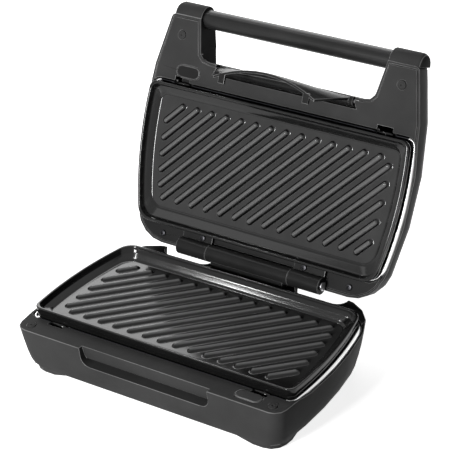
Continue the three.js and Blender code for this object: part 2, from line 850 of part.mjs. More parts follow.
function ribbedPlate() {
  const foot = plateForm(plateFootInset);
  const skirt = plateForm(plateSkirtInset);
  const rim = plateForm(0);
  const mouth = plateForm(plateMouthInset);
  const shoulder = plateForm(plateShoulderInset);
  const floor = plateForm(plateFloorInset, plateFloorRearInset);
  const seat = -trayFlangeDepth + traySheet + fit;
  const body = loft([
    [foot, seat],
    [skirt, seat + plateSkirtRound],
    [rim, -plateRimRound - fit],
    [inset(rim, plateRimRound / 2), -fit],
  ]);
  const slopeFoot = plateFillet / 2;
  const hollow = loft([
    [inset(floor, plateFillet), -plateFloorDrop],
    [inset(floor, slopeFoot / 2), -plateFloorDrop + slopeFoot / 2],
    [inset(shoulder, plateShoulderStep), -plateShoulderDrop - plateShoulderStep / 2],
    [shoulder, -plateShoulderDrop],
    [mouth, -plateRimRound - fit],
    [inset(mouth, -plateRimRound / 2), -fit],
    [inset(mouth, -plateRimRound), plateRimRound],
  ]);
  const under = loft([
    [inset(foot, plateSkirtWall), seat - overrun],
    [inset(foot, plateSkirtWall + plateFillet), -plateFloorDrop - plateThickness],
  ]);
  const ribs = [];
  const ribsEachSide = Math.floor((ribSideWidth + ribReach - ribFootWidth) / ribPitch);
  for (let i = -ribsEachSide; i <= ribsEachSide; i += 1) {
    ribs.push(rib(i * ribPitch));
  }
  const tabs = [-1, 1].map((side) => {
    const x = side * plateTabX;
    const half = plateTabWidth / 2;
    const front = plateSkirtFront - plateTabThickness;
    const tabLow = seat - plateTabLength;
    const sill = tabLow + plateTabThickness / 2;
    return cut(
      box(x - half, x + half, front, plateSkirtFront + plateTabThickness, tabLow, seat + plateTabThickness),
      box(x - half + plateTabThickness, x + half - plateTabThickness, front - overrun,
        plateSkirtFront + overrun, sill, sill + plateTabWindow),
      box(x - half - fit, x + half + fit, plateSkirtFront, plateSkirtFront + overrun,
        tabLow - fit, seat - fit));
  });
  return join(cut(body, hollow, under), ...ribs, ...tabs);
}

// Tubular heater: a rounded loop open at the rear, with ceramic beads and pins at its two ends
const heaterZ = -plateFloorDrop - plateThickness - fit - heaterRadius;

// A line through points that the tube follows ring by ring, point by point
class Route extends THREE.Curve {
  constructor(points) {
    super();
    this.points = points;
  }

  getPoint(t) {
    const last = this.points.length - 1;
    const index = Math.min(Math.floor(t * last), last - 1);
    return this.points[index].clone().lerp(this.points[index + 1], t * last - index);
  }

  getUtoTmapping(u) {
    return u;
  }
}

function heatingElement() {
  const x = heaterHalfX;
  const y = heaterHalfY;
  const r = heaterBend;
  const corners = [
    [[-heaterLeadX, y], r / 2], [[-x, y], r], [[-x, -y], r],
    [[x, -y], r], [[x, y], r], [[heaterLeadX, y], r / 2],
  ];
  const ends = [[-heaterLeadX, heaterLeadY], [heaterLeadX, heaterLeadY]];
  const at = ([px, py]) => new THREE.Vector3(px, py, heaterZ);
  const stops = [ends[0], ...corners.map(([point]) => point), ends[1]];
  const points = [at(ends[0])];
  corners.forEach(([point, radius], i) => {
    const here = at(point);
    const start = here.clone().add(at(stops[i]).sub(here).setLength(radius));
    const end = here.clone().add(at(stops[i + 2]).sub(here).setLength(radius));
    points.push(...new THREE.QuadraticBezierCurve3(start, here, end).getPoints(bendSteps));
  });
  points.push(at(ends[1]));
  const section = new THREE.Shape();
  section.absarc(0, 0, heaterRadius, 0, Math.PI * 2, false);
  const tube = solid(new THREE.ExtrudeGeometry(section, {
    extrudePath: new Route(points), steps: points.length - 1, curveSegments: heaterSides,
  }));
  const beadEnd = heaterLeadY + heaterBeadLength;
  const bead = (sign) => join(
    rodY(heaterBead, sign * heaterLeadX, heaterLeadY - fit, beadEnd, heaterZ, smallSteps),
    rodY(heaterPin, sign * heaterLeadX, heaterLeadY, beadEnd + heaterPinLength, heaterZ, smallSteps));
  const pan = openingRear - trayWallInset - traySheet - fit;
  const room = box(-halfWidth, halfWidth, baseFrontY, pan, heaterZ - overrun, heaterZ + overrun);
  return join(tube, bead(-1), bead(1)).intersect(room);
}

// Saddle that holds the heater above the pan
function heaterClip(x, y, alongX) {
  const low = -trayDepth + traySheet + fit;
  const half = clipWidth / 2;
  const run = clipLength / 2;
  const [hx, hy] = alongX ? [run, half] : [half, run];
  const [sx, sy] = alongX ? [-fit, clipWall] : [clipWall, -fit];
  const bed = alongX
    ? rodX(heaterRadius + fit, x - clipWidth, x + clipWidth, y, heaterZ)
    : rodY(heaterRadius + fit, x, y - clipWidth, y + clipWidth, heaterZ);
  return cut(
    box(x - hx, x + hx, y - hy, y + hy, low, heaterZ),
    bed,
    box(x - hx + sx, x + hx - sx, y - hy + sy, y + hy - sy,
      low + clipWall, heaterZ - heaterRadius - clipWall));
}

// Bimetal thermostat under the pan: cap, flange, body and two blade terminals
function thermostat() {
  const top = -trayDepth - fit;
  const x = thermostatX;
  const y = thermostatY;
  const low = top - thermostatHeight;
  const flange = top - thermostatFlangeThickness;
  const button = thermostatRadius / 2 - fit;
  const body = turned([
    [0, low], [thermostatRadius - ledgeEdge, low], [thermostatRadius, low + ledgeEdge],
    [thermostatRadius, flange], [thermostatFlange, flange], [thermostatFlange, top],
    [button, top], [button, top + traySheet + fit], [0, top + traySheet + fit],
  ], x, y);
  const tabZ = top - thermostatHeight * thermostatTabShare;
  const blades = [-1, 1].map((side) => box(
    x + side * (thermostatRadius - ledgeEdge), x + side * (thermostatRadius + thermostatTabLength),
    y - thermostatTab / 2, y + thermostatTab / 2, tabZ - traySheet / 2, tabZ + traySheet / 2));
  return join(body, ...blades);
}

// Thermal fuse in its sleeve under the pan
function thermalFuse() {
  const z = -trayDepth - fit - fuseRadius;
  const half = fuseLength / 2;
  const tip = half + fuseCapLength;
  return join(
    rodX(fuseRadius, fuseX - half, fuseX + half, fuseY, z),
    rodX(fuseCap, fuseX - tip, fuseX + tip, fuseY, z, smallSteps));
}

// Terminal block on the bottom cover
function terminalBlock() {
  const low = -shellDepth + coverThickness + 2 * fit;
  const body = box(-blockLength / 2, blockLength / 2, blockY - blockWidth / 2, blockY + blockWidth / 2,
    low, low + blockHeight);
  const pitch = blockLength / blockPoles;
  const holes = [];
  const grooves = [];
  for (let i = 0; i < blockPoles; i += 1) {
    const x = (i - (blockPoles - 1) / 2) * pitch;
    const middle = low + blockHeight / 2;
    holes.push(rodY(blockHole, x, blockY - blockWidth, blockY + blockWidth, middle, smallSteps));
    holes.push(rodZ(blockHole, x, blockY, middle, low + blockHeight + overrun, smallSteps));
    if (i > 0) {
      const edge = x - pitch / 2;
      grooves.push(box(edge - clipWall / 2, edge + clipWall / 2, blockY - blockWidth, blockY + blockWidth,
        low + blockHeight * blockGrooveShare, low + blockHeight + overrun));
    }
  }
  return cut(body, ...holes, ...grooves);
}

// Cord inlet: collar, neck through the rear wall and inner collar, with a bore
function cordGland() {
  const wallIn = baseRearY - glandBackInset - fit;
  const wallOut = baseRearY - glandFaceInset + fit;
  const profile = [
    [glandBore, wallIn - glandInner], [glandNeck, wallIn - glandInner], [glandNeck, wallOut],
    [glandCollar, wallOut], [glandCollar - ledgeEdge, wallOut + glandCollarLength],
    [glandBore, wallOut + glandCollarLength], [glandBore, wallIn - glandInner],
  ];
  const geometry = new THREE.LatheGeometry(profile.map(([r, y]) => new THREE.Vector2(r, y)), roundSteps);
  geometry.translate(0, 0, -glandDepth);
  return solid(geometry);
}

// Round plug in the ledge, and the oval release button with its post
function cornerPlug(x, y) {
  const low = -ledgeDrop - plugSeat + fit;
  const top = -ledgeDrop + plugDome;
  const stemEnd = low - plugStemLength;
  return turned([
    [0, stemEnd], [plugStem, stemEnd], [plugStem, low], [plugRadius, low],
    [plugRadius, top - plugDome / 2], [plugRadius - plugDome, top], [0, top],
  ], x, y);
}

function releaseButton() {
  const top = -ledgeDrop + buttonDome;
  const flangeTop = -ledgeDrop - wall - 2 * fit;
  const flangeLow = flangeTop - buttonFlangeThickness;
  const capLow = flangeLow + fit;
  const cap = join(
    prism(oval(buttonX, buttonY, buttonLength, buttonWidth), capLow, top - buttonDome / 2),
    prism(oval(buttonX, buttonY, buttonLength - 2 * buttonDome, buttonWidth - 2 * buttonDome),
      top - buttonDome, top));
  const flange = prism(
    oval(buttonX, buttonY, buttonLength + 2 * buttonFlange, buttonWidth + 2 * buttonFlange),
    flangeLow, flangeTop);
  const front = buttonY + postThickness / 2;
  const rear = front - postThickness;
  const wedge = postLength - (catchTop + flangeLow) - fit;
  const post = prismAlongX(polygon([
    [front, flangeLow + fit], [front, flangeLow - postLength],
    [rear + wedge / 2, flangeLow - postLength], [rear - wedge / 2, flangeLow - postLength + wedge],
    [rear - wedge / 2, flangeLow + fit],
  ].reverse()), catchX - postWidth / 2, catchX + postWidth / 2);
  return join(cap, flange, post);
}

// Sliding catch: a plate with a bevelled window for the button's post and a nose towards the plate
function releaseCatch() {
  const top = -catchTop;
  const low = top - catchThickness;
  const tip = plateSkirtFront - plateTabThickness - fit;
  const rear = tip - catchNoseLength;
  const tail = baseFrontY + wall + ledgeFrontLean + 2 * fit + buttonTravel;
  const plate = box(catchX - catchWidth / 2, catchX + catchWidth / 2, tail, rear, low, top);
  const halfNose = catchNoseWidth / 2;
  const nose = box(plateTabX - halfNose, plateTabX + halfNose, rear - fit, tip, low, top);
  const halfPost = postWidth / 2 + fit;
  const room = postThickness / 2 + fit + buttonTravel;
  const window = box(catchX - halfPost, catchX + halfPost, buttonY - room, buttonY + room,
    low - shortOverrun, top + shortOverrun);
  return cut(join(plate, nose), window);
}

// Channel under the ledge that the catch slides in
function catchGuide() {
  const low = -catchTop - catchThickness - fit - guideWall;
  const high = -ledgeDrop - wall - fit;
  const front = baseFrontY + wall + ledgeFrontLean + 2 * fit;
  const rear = plateSkirtFront - plateTabThickness - catchNoseLength - fit;
  const inner = catchWidth / 2 + fit;
  const left = springX - springRadius - fit;
  const floor = box(left - guideWall, catchX + inner + guideWall, front, rear, low, low + guideWall);
  const flangeRoom = buttonX + buttonLength / 2 + buttonFlange + fit;
  const rightX = Math.max(catchX + inner, flangeRoom);
  const right = box(rightX, rightX + guideWall, front, rear, low, high);
  const bridge = box(catchX + inner, rightX + guideWall, front, rear, low, low + guideWall);
  const leftX = Math.min(left, buttonX - buttonLength / 2 - buttonFlange - fit);
  const leftWall = box(leftX - guideWall, leftX, front, rear, low, high);
  const leftBridge = box(leftX - guideWall, left, front, rear, low, low + guideWall);
  const halfPost = postWidth / 2 + fit;
  const postFront = buttonY - postThickness / 2 - postLength / 2;
  const postRoom = box(catchX - halfPost, catchX + halfPost, postFront,
    buttonY + postThickness / 2 + fit, low - overrun, low + guideWall + overrun);
  return cut(join(floor, right, bridge, leftWall, leftBridge), postRoom);
}

// Return spring of the button, a sleeve of its outer diameter at its pressed length
function buttonSpring() {
  const top = -ledgeDrop - wall - 3 * fit - buttonFlangeThickness - buttonTravel;
  const low = -catchTop - catchThickness;
  return turned([
    [springBore, low], [springRadius, low], [springRadius, top], [springBore, top], [springBore, low],
  ], springX, buttonY, smallSteps);
}

// A line of [y, depth] points moved inwards by some thickness
function thinned(points, thickness) {
  return points.map(([y, depth], i) => {
    const [y0, depth0] = points[Math.max(i - 1, 0)];
    const [y1, depth1] = points[Math.min(i + 1, points.length - 1)];
    const length = Math.hypot(y1 - y0, depth1 - depth0);
    return [y + ((depth1 - depth0) / length) * thickness, depth - ((y1 - y0) / length) * thickness];
  });
}

// The lid's outer line as [y, depth] points, and its depth at one y
function lidLine() {
  return lidProfileShares.map(([along, deep]) => [barY + along * (lidRearY - barY), deep * lidCrown]);
}

function lidDepthAt(y) {
  const line = lidLine();
  const after = line.findIndex(([end]) => end > y);
  const [y0, depth0] = line[after - 1];
  const [y1, depth1] = line[after];
  return depth0 + ((depth1 - depth0) * (y - y0)) / (y1 - y0);
}

// Lid shell: the bowed outline with rounded sides, trimmed to its side profile and nose
function lidBlock(thickness, mouth, every = (list) => list) {
  const levels = [
    ...every(lidLeanShares).map(([depth, side]) => [
      inset(lidForm, side * lidSideLean + thickness, thickness), -depth * lidDepth + thickness]),
    [inset(lidForm, thickness), -ledgeDrop],
    ...(mouth > -ledgeDrop ? [[inset(lidForm, thickness), mouth]] : []),
  ];
  const line = thinned(lidLine(), thickness);
  const profile = polygon([
    [barY + thickness, -line[0][1]],
    ...line.slice(1).map(([y, depth]) => [y, -depth]),
    [lidRearY - thickness, mouth + overrun], [barY + thickness, mouth + overrun],
  ]);
  const body = loft(levels).intersect(prismAlongX(profile, -halfWidth - overrun, halfWidth + overrun));
  return cut(body, noseCut(thickness));
}

// The space in front of the lid's rounded nose, between the arms
function noseCut(thickness) {
  const reach = noseLength - thickness;
  const height = shellDepth - noseDepth - thickness;
  const points = [[windowFoot - overrun - barRadius, -noseDepth]];
  for (let i = 0; i <= noseSteps; i += 1) {
    const angle = (Math.PI * i) / (2 * noseSteps);
    points.push([noseRearY - reach * Math.cos(angle), -noseDepth - height * Math.sin(angle)]);
  }
  points.push([noseRearY, -shellDepth - overrun], [windowFoot - overrun - barRadius, -shellDepth - overrun]);
  const half = windowHalfFoot + thickness;
  return prismAlongX(polygon(points), -half, half);
}

// The window under the handle bar, grown by some margin; it is open towards the front
function windowShape(grow) {
  const foot = windowFoot + grow;
  const tip = barY - armEndRadius - overrun;
  const halfFoot = windowHalfFoot + grow;
  const halfTip = windowHalfTip + grow;
  const r = windowCorner + grow;
  const shape = new THREE.Shape();
  shape.moveTo(halfTip, tip);
  shape.lineTo(halfTip, barY);
  shape.lineTo(halfFoot, foot - r);
  shape.quadraticCurveTo(halfFoot, foot, halfFoot - r, foot);
  shape.lineTo(-halfFoot + r, foot);
  shape.quadraticCurveTo(-halfFoot, foot, -halfFoot, foot - r);
  shape.lineTo(-halfTip, barY);
  shape.lineTo(-halfTip, tip);
  return shape;
}

function armEnds() {
  const reach = lidForm.width - (barY - widestY) ** 2 / (2 * sideRadius);
  return [-1, 1].map((side) => {
    const profile = [
      [0, windowHalfTip], [armEndRadius, windowHalfTip], [armEndRadius, reach - armEndRound],
      [armEndRadius - armEndRound / 3, reach - armEndRound / 3], [armEndRadius - armEndRound, reach],
      [0, reach],
    ];
    const geometry = new THREE.LatheGeometry(profile.map(([r, x]) => new THREE.Vector2(r, x)), tubeSteps);
    geometry.rotateZ(-Math.PI / 2);
    if (side < 0) {
      geometry.rotateY(Math.PI);
    }
    geometry.translate(0, barY, -barDepth);
    const front = box(-halfWidth - overrun, halfWidth + overrun, barY - overrun, barY + wall / 4,
      -shellDepth - overrun, overrun);
    return solid(geometry).intersect(front);
  });
}

function barSockets(radius) {
  const end = windowHalfTip + barSeat + fit;
  return [-1, 1].map((side) => rodX(
    radius, side * (windowHalfTip - overrun), side * end, barY, -barDepth, tubeSteps));
}

function pocketShape(grow) {
  const rear = pocketRear + grow;
  const front = windowFoot - overrun;
  const half = pocketHalf + grow;
  const halfRear = half + pocketFlare;
  return polygon([
    [-half, front], [half, front], [half, windowFoot],
    [halfRear, rear], [-halfRear, rear], [-half, windowFoot],
  ]);
}

const hingeAxisZ = -hingeRise;

function hingeClearance(half) {
  return rodX(hingeSweep, -half, half, hingeY, hingeAxisZ);
}

function lidHousing() {
  const panelSeat = -ledgeDrop - wall - fit;
  const outer = lidBlock(0, -ledgeDrop);
  const cavity = cut(lidBlock(wall, overrun, sparse),
    prism(windowShape(wall), -shellDepth - overrun, 2 * overrun));
  const shell = cut(outer, cavity, prism(windowShape(0), -shellDepth - overrun, overrun));
  const pocketMouth = prism(pocketShape(pocketWall + fit), -pocketDepth - pocketWall - fit, overrun);
  const knuckleEnd = barrelHalf + fit + knuckleLength + fit;
  const lensHoles = [-1, 1].map((side) => rodZ(lensRadius + fit, side * lensX, lensY,
    -lidDepth - overrun, -lidDepth + 2 * shortOverrun));
  const beamPosts = [[-beamPostX, openingFront], [beamPostX, openingFront]];
  const posts = [...rearScrewPlaces(), ...beamPosts].map(([x, y]) => rodZ(
    bossRadius, x, y, -shellDepth, panelSeat, smallSteps));
  const pilots = rearScrewPlaces().map(([x, y]) => rodZ(screwPilot, x, y,
    panelSeat - screwLength, overrun, smallSteps));
  const seat = traySeat(panelSeat, posts).intersect(outer);
  return cut(join(shell, seat, ...armEnds()), ...barSockets(barRadius + fit), pocketMouth,
    outlinePrism(openingForm, -trayFlangeDepth - fit, overrun),
    ...sideDip(), hingeClearance(knuckleEnd + fit), ...pilots, ...lensHoles);
}

// Inner panels of the lid: the front one reaches into the arms, the rear one lies behind the plate
function lidPanel() {
  const form = inset(lidForm, wall + 2 * fit);
  return outlinePrism(form, -ledgeDrop - wall, -ledgeDrop);
}

function lidFrontFrame() {
  const open = openingForm.front + openingCorner;
  const front = lidPanel().intersect(box(-halfWidth, halfWidth, barY - overrun, open, -shellDepth, overrun));
  const pocket = cut(
    prism(pocketShape(pocketWall), -pocketDepth - pocketWall, -ledgeDrop - wall / 2).intersect(
      box(-halfWidth, halfWidth, windowFoot + wall + fit, 0, -shellDepth, 0)),
    prism(pocketShape(0), -pocketDepth, overrun));
  const holes = [
    prism(windowShape(wall + fit), -shellDepth, overrun),
    prism(oval(buttonX, buttonY, buttonLength + 2 * fit, buttonWidth + 2 * fit), -shellDepth, overrun),
    prism(pocketShape(0), -pocketDepth, overrun),
    outlinePrism(openingForm, -shellDepth, overrun),
    ...plugHoles(lidPlugX, lidPlugY),
    ...tabSlots(),
  ];
  const pinHoles = [-1, 1].map((side) => rodX(
    latchPinRadius + fit, side * (latchAxle - latchPinLength), side * (latchAxle + 2 * latchPinLength),
    latchPivotY, -latchPivotDepth, smallSteps));
  return cut(join(cut(front, ...holes), pocket), ...pinHoles);
}

function lidRearFrame() {
  const rear = lidPanel().intersect(
    box(-halfWidth, halfWidth, openingForm.rear - openingRearCorner, lidRearY, -shellDepth, overrun));
  const knuckleEnd = barrelHalf + fit + knuckleLength + fit;
  const pilots = rearScrewPlaces().map(([x, y]) => rodZ(
    screwShank + fit, x, y, -shellDepth, overrun, smallSteps));
  return cut(rear, outlinePrism(openingForm, -shellDepth, overrun),
    hingeClearance(knuckleEnd + fit), ...pilots);
}

function rearScrewPlaces() {
  return [
    [-frameScrewX, frameScrewY], [frameScrewX, frameScrewY],
    [-knuckleX, knuckleScrewY], [knuckleX, knuckleScrewY],
  ];
}

function frameScrew([x, y]) {
  const seat = Math.abs(x) < frameScrewX ? -ledgeDrop + knuckleRootThickness + fit : -ledgeDrop;
  const head = seat + fit + screwHeadHeight;
  const shank = -ledgeDrop - screwLength;
  return turned([
    [0, shank], [screwShank, shank], [screwShank, head - screwHeadHeight],
    [screwHead, head - screwHeadHeight], [screwHead, head - screwHeadHeight / 2],
    [screwHead - screwShank / 2, head], [0, head],
  ], x, y, smallSteps);
}

// Hinge: two knuckles on the lid, the barrel on the base and one pin through all three
function hingeKnuckle(side) {
  const x0 = side * (barrelHalf + fit);
  const x1 = side * (barrelHalf + fit + knuckleLength);
  const low = -ledgeDrop + fit;
  const root = box(x0, x1, hingeY - knuckleRootReach, hingeY - knuckleRootGap,
    low, low + knuckleRootThickness);
  const neck = box(x0, x1, hingeY - knuckleNeckReach, hingeY,
    low + wall, low + wall + knuckleRootThickness);
  const tube = rodX(barrelRadius, x0, x1, hingeY, hingeAxisZ, tubeSteps);
  const bore = rodX(hingePinRadius + pinClearance, x0 - side * overrun, x1 + side * overrun,
    hingeY, hingeAxisZ, smallSteps);
  const hole = rodZ(screwShank + fit, side * knuckleX, knuckleScrewY,
    low - overrun, low + overrun, smallSteps);
  return cut(join(root, neck, tube), bore, hole);
}

function hingeBarrel() {
  const deck = -ledgeDrop + fit;
  const tube = rodX(barrelRadius, -barrelHalf, barrelHalf, hingeY, hingeRise, tubeSteps);
  const foot = box(-barrelFootHalf, barrelFootHalf, hingeY - barrelFootFront,
    hingeY + barrelFootRear, deck, hingeRise);
  const bore = rodX(hingePinRadius + pinClearance, -barrelHalf - overrun, barrelHalf + overrun,
    hingeY, hingeRise, smallSteps);
  return cut(join(tube, foot), bore);
}

function hingePin() {
  const end = barrelHalf + fit + knuckleLength + pinOverhang;
  const pin = rodX(hingePinRadius, -end, end, hingeY, hingeRise, smallSteps);
  const heads = [-1, 1].map((side) => rodX(
    hingePinRadius + screwShank, side * (end - pinOverhang + fit), side * end, hingeY, hingeRise));
  return join(pin, ...heads);
}

// Round handle bar, a tube whose ends sit in the arms
function handleBar() {
  const end = windowHalfTip + barSeat;
  return cut(rodX(barRadius, -end, end, barY, -barDepth, tubeSteps),
    rodX(barRadius - barWall, -end - overrun, end + overrun, barY, -barDepth));
}

// A wall between two grids of points that share their edges; rows rise, columns run along X
function wallOfRows(outerRows, innerRows) {
  const columns = outerRows[0].length;
  const size = outerRows.length * columns;
  const index = [];
  const quad = (a, b, c, d) => index.push(a, b, c, a, c, d);
  const at = (r, c) => r * columns + c;
  for (let r = 0; r < outerRows.length - 1; r += 1) {
    for (let c = 0; c < columns - 1; c += 1) {
      quad(at(r, c), at(r, c + 1), at(r + 1, c + 1), at(r + 1, c));
      quad(size + at(r, c), size + at(r + 1, c), size + at(r + 1, c + 1), size + at(r, c + 1));
    }
    const end = columns - 1;
    quad(at(r, 0), at(r + 1, 0), size + at(r + 1, 0), size + at(r, 0));
    quad(at(r + 1, end), at(r, end), size + at(r, end), size + at(r + 1, end));
  }
  const last = outerRows.length - 1;
  for (let c = 0; c < columns - 1; c += 1) {
    quad(at(0, c + 1), at(0, c), size + at(0, c), size + at(0, c + 1));
    quad(at(last, c), at(last, c + 1), size + at(last, c + 1), size + at(last, c));
  }
  const geometry = new THREE.BufferGeometry();
  const points = [...outerRows, ...innerRows].flat(2);
  geometry.setAttribute('position', new THREE.Float32BufferAttribute(points, 3));
  geometry.setIndex(index);
  return solid(geometry);
}

// Latch: a wall that is straight at the pivot and bows out to its free edge, and hook fingers
function lidLatch() {
  const root = -latchPivotDepth;
  const rows = (inward) => Array.from({ length: latchRows + 1 }, (_, r) => {
    const t = r / latchRows;
    const half = latchHalf - (latchHalf - latchBowHalf) * t ** 2;
    const ends = latchRootY + (latchEdgeY - latchRootY) * t ** 2;
    const reach = latchRootReach + (latchEdgeReach - latchRootReach) * t;
    return Array.from({ length: latchSteps + 1 }, (__, c) => {
      const u = (2 * c) / latchSteps - 1;
      return [u * half, ends - reach * (1 - u ** 2) + inward, root + (latchEdge - root) * t];
    });
  });
  const hookTip = baseFrontY + recessSetback + recessSlope + latchHookBite;
  const hooks = [-1, 1].map((side) => box(
    side * (latchHookX - latchHookWidth / 2), side * (latchHookX + latchHookWidth / 2),
    latchEdgeY - latchHookOverlap, hookTip, recessLip + fit, latchEdge));
  const knobs = [-1, 1].map((side) => rodX(latchKnob, side * (latchAxle - latchKnob), side * latchAxle,
    latchPivotY, root));
  const barrel = rodX(latchBarrel, -latchAxle, latchAxle, latchPivotY, root);
  const boreEnd = latchAxle - latchPinLength / 2 - fit;
  const bores = [-1, 1].map((side) => rodX(
    latchPinRadius + fit, side * boreEnd, side * (latchAxle + overrun), latchPivotY, root, smallSteps));
  return cut(join(wallOfRows(rows(0), rows(latchWall)), barrel, ...knobs, ...hooks), ...bores);
}

function latchPin(side) {
  return rodX(latchPinRadius, side * (latchAxle - latchPinLength / 2),
    side * (latchAxle + latchPinLength / 2 + pocketFlare), latchPivotY, -latchPivotDepth, smallSteps);
}

// Indicator lenses in the lid's top, with the lamps behind them on a small board
const lensTop = -lidDepthAt(lensY) - lensProud;

function indicatorLens(side) {
  const top = lensTop;
  const flange = top + lensLength;
  return turned([
    [0, top], [lensRadius * lensTopShare, top],
    [lensRadius, top + lensRadius * lensRoundShare], [lensRadius, flange],
    [lensFlange, flange], [lensFlange, flange + lensFlangeThickness], [0, flange + lensFlangeThickness],
  ], side * lensX, lensY);
}

function indicatorLamps() {
  const lampTop = lensTop + lensLength + lensFlangeThickness + fit;
  const board = box(-boardLength / 2, boardLength / 2, lensY - boardWidth / 2, lensY + boardWidth / 2,
    lampTop + lampLength, lampTop + lampLength + boardThickness);
  const lamps = [-1, 1].map((side) => rodZ(
    lampRadius, side * lensX, lensY, lampTop, lampTop + lampLength + fit, smallSteps));
  return join(board, ...lamps);
}

// Materials
function material(colour, roughness, metalness) {
  return new THREE.MeshStandardMaterial({ color: colour, roughness, metalness });
}

const plastic = () => material(0x2b2b2d, 0.55, 0);
const darkPlastic = () => material(0x141415, 0.5, 0);
const nonStick = () => material(0x1d1d1e, 0.35, 0.2);
const steel = () => material(0xc9c9cb, 0.2, 1);
const zincSteel = () => material(0x9b9b9e, 0.4, 1);
const heaterSteel = () => material(0x55504a, 0.5, 0.9);
const rubber = () => material(0x151515, 0.9, 0);
const ceramic = () => material(0xe6e1d6, 0.6, 0);

function piece(name, manifold, finish) {
  const mesh = new THREE.Mesh(geometryOf(manifold), finish);
  mesh.name = name;
  return mesh;
}

// Left and right as the user sees them; the lid's own X is turned over
const sidesOf = (turnedOver) => [[-1, turnedOver ? 'right' : 'left'], [1, turnedOver ? 'left' : 'right']];

// Pieces that both halves have, drawn once for each half
function halfPieces(prefix, turnedOver) {
  return [
    piece(`${prefix}_plate`, ribbedPlate(), nonStick()),
    piece(`${prefix}_heating_element`, heatingElement(), heaterSteel()),
    piece(`${prefix}_heater_clip_front`, heaterClip(0, -heaterHalfY, true), zincSteel()),
    ...sidesOf(turnedOver).map(([side, name]) => piece(`${prefix}_heater_clip_${name}`,
      heaterClip(side * heaterHalfX, 0, false), zincSteel())),
    piece(`${prefix}_thermostat`, thermostat(), zincSteel()),
    piece(`${prefix}_release_button`, releaseButton(), darkPlastic()),
    piece(`${prefix}_release_catch`, releaseCatch(), darkPlastic()),
    piece(`${prefix}_catch_guide`, catchGuide(), darkPlastic()),
    piece(`${prefix}_button_spring`, buttonSpring(), zincSteel()),
  ];
}

function baseGroup() {
  const half = new THREE.Group();
  const corners = ['front_left', 'front_right', 'rear_left', 'rear_right'];
  half.add(
    piece('base_housing', baseHousing(), plastic()),
    piece('base_bottom_cover', bottomCover(), darkPlastic()),
    ...coverScrewPlaces().map((place, i) => piece(`base_cover_screw_${corners[i]}`,
      coverScrew(place), zincSteel())),
    piece('base_reflector_tray', reflectorTray(), steel()),
    ...sidesOf(false).map(([side, name]) => piece(`base_corner_plug_${name}`,
      cornerPlug(side * basePlugX, basePlugY), darkPlastic())),
    piece('thermal_fuse', thermalFuse(), ceramic()),
    piece('terminal_block', terminalBlock(), ceramic()),
    piece('cord_gland', cordGland(), rubber()),
    piece('hinge_barrel', hingeBarrel(), darkPlastic()),
    piece('hinge_pin', hingePin(), zincSteel()),
    ...footPlaces().map(([x, y], i) => piece(`foot_${corners[i]}`, rubberFoot(x, y), rubber())),
    ...halfPieces('lower', false),
  );
  half.position.z = midHeight;
  return half;
}

function lidGroup() {
  const half = new THREE.Group();
  const screwNames = ['outer_right', 'outer_left', 'inner_right', 'inner_left'];
  half.add(
    piece('lid_housing', lidHousing(), plastic()),
    piece('lid_front_frame', lidFrontFrame(), plastic()),
    piece('lid_rear_frame', lidRearFrame(), darkPlastic()),
    ...rearScrewPlaces().map((place, i) => piece(`lid_frame_screw_${screwNames[i]}`,
      frameScrew(place), zincSteel())),
    piece('lid_reflector_tray', reflectorTray(), steel()),
    ...sidesOf(true).map(([side, name]) => piece(`lid_corner_plug_${name}`,
      cornerPlug(side * lidPlugX, lidPlugY), darkPlastic())),
    ...sidesOf(true).map(([side, name]) => piece(`hinge_knuckle_${name}`,
      hingeKnuckle(side), darkPlastic())),
    piece('handle_bar', handleBar(), plastic()),
    piece('lid_latch', lidLatch(), darkPlastic()),
    ...sidesOf(true).map(([side, name]) => piece(`latch_pin_${name}`, latchPin(side), zincSteel())),
    piece('indicator_lens_power', indicatorLens(-1), material(0xb01c12, 0.2, 0)),
    piece('indicator_lens_ready', indicatorLens(1), material(0x1f8a32, 0.2, 0)),
    piece('indicator_lamps', indicatorLamps(), ceramic()),
    ...halfPieces('upper', true),
  );
  half.rotation.y = Math.PI;
  half.position.set(0, -hingeY, -hingeRise);
  const swing = new THREE.Group();
  swing.add(half);
  swing.rotation.x = -rad(openAngle);
  swing.position.set(0, hingeY, midHeight + hingeRise);
  return swing;
}

const group = new THREE.Group();
group.name = 'sandwich_and_waffle_maker';
group.add(baseGroup(), lidGroup());

// The origin is the centre of the footprint of the open appliance, on the table
const bounds = new THREE.Box3().setFromObject(group, true);
const middle = bounds.getCenter(new THREE.Vector3());
group.children.forEach((child) => {
  child.position.x -= middle.x;
  child.position.y -= middle.y;
});

export default group;
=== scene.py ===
import json
import math

import bmesh
import bpy
import numpy as np
from mathutils import Matrix, Vector


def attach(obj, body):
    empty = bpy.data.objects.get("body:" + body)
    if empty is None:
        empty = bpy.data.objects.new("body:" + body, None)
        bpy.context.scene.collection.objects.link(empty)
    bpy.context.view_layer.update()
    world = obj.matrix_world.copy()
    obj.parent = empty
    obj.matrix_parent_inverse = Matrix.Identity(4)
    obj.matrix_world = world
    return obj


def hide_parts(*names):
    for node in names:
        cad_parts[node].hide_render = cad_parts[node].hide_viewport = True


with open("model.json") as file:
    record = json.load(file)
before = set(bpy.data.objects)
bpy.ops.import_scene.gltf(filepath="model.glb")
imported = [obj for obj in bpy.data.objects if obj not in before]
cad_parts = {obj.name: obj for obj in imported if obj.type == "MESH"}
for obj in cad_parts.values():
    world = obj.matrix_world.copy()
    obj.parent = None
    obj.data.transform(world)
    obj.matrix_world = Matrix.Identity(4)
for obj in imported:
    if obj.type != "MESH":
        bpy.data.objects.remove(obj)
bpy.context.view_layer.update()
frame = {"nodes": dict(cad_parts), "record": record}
nodes = frame["nodes"]
print("frame loaded:", len(nodes), "nodes")

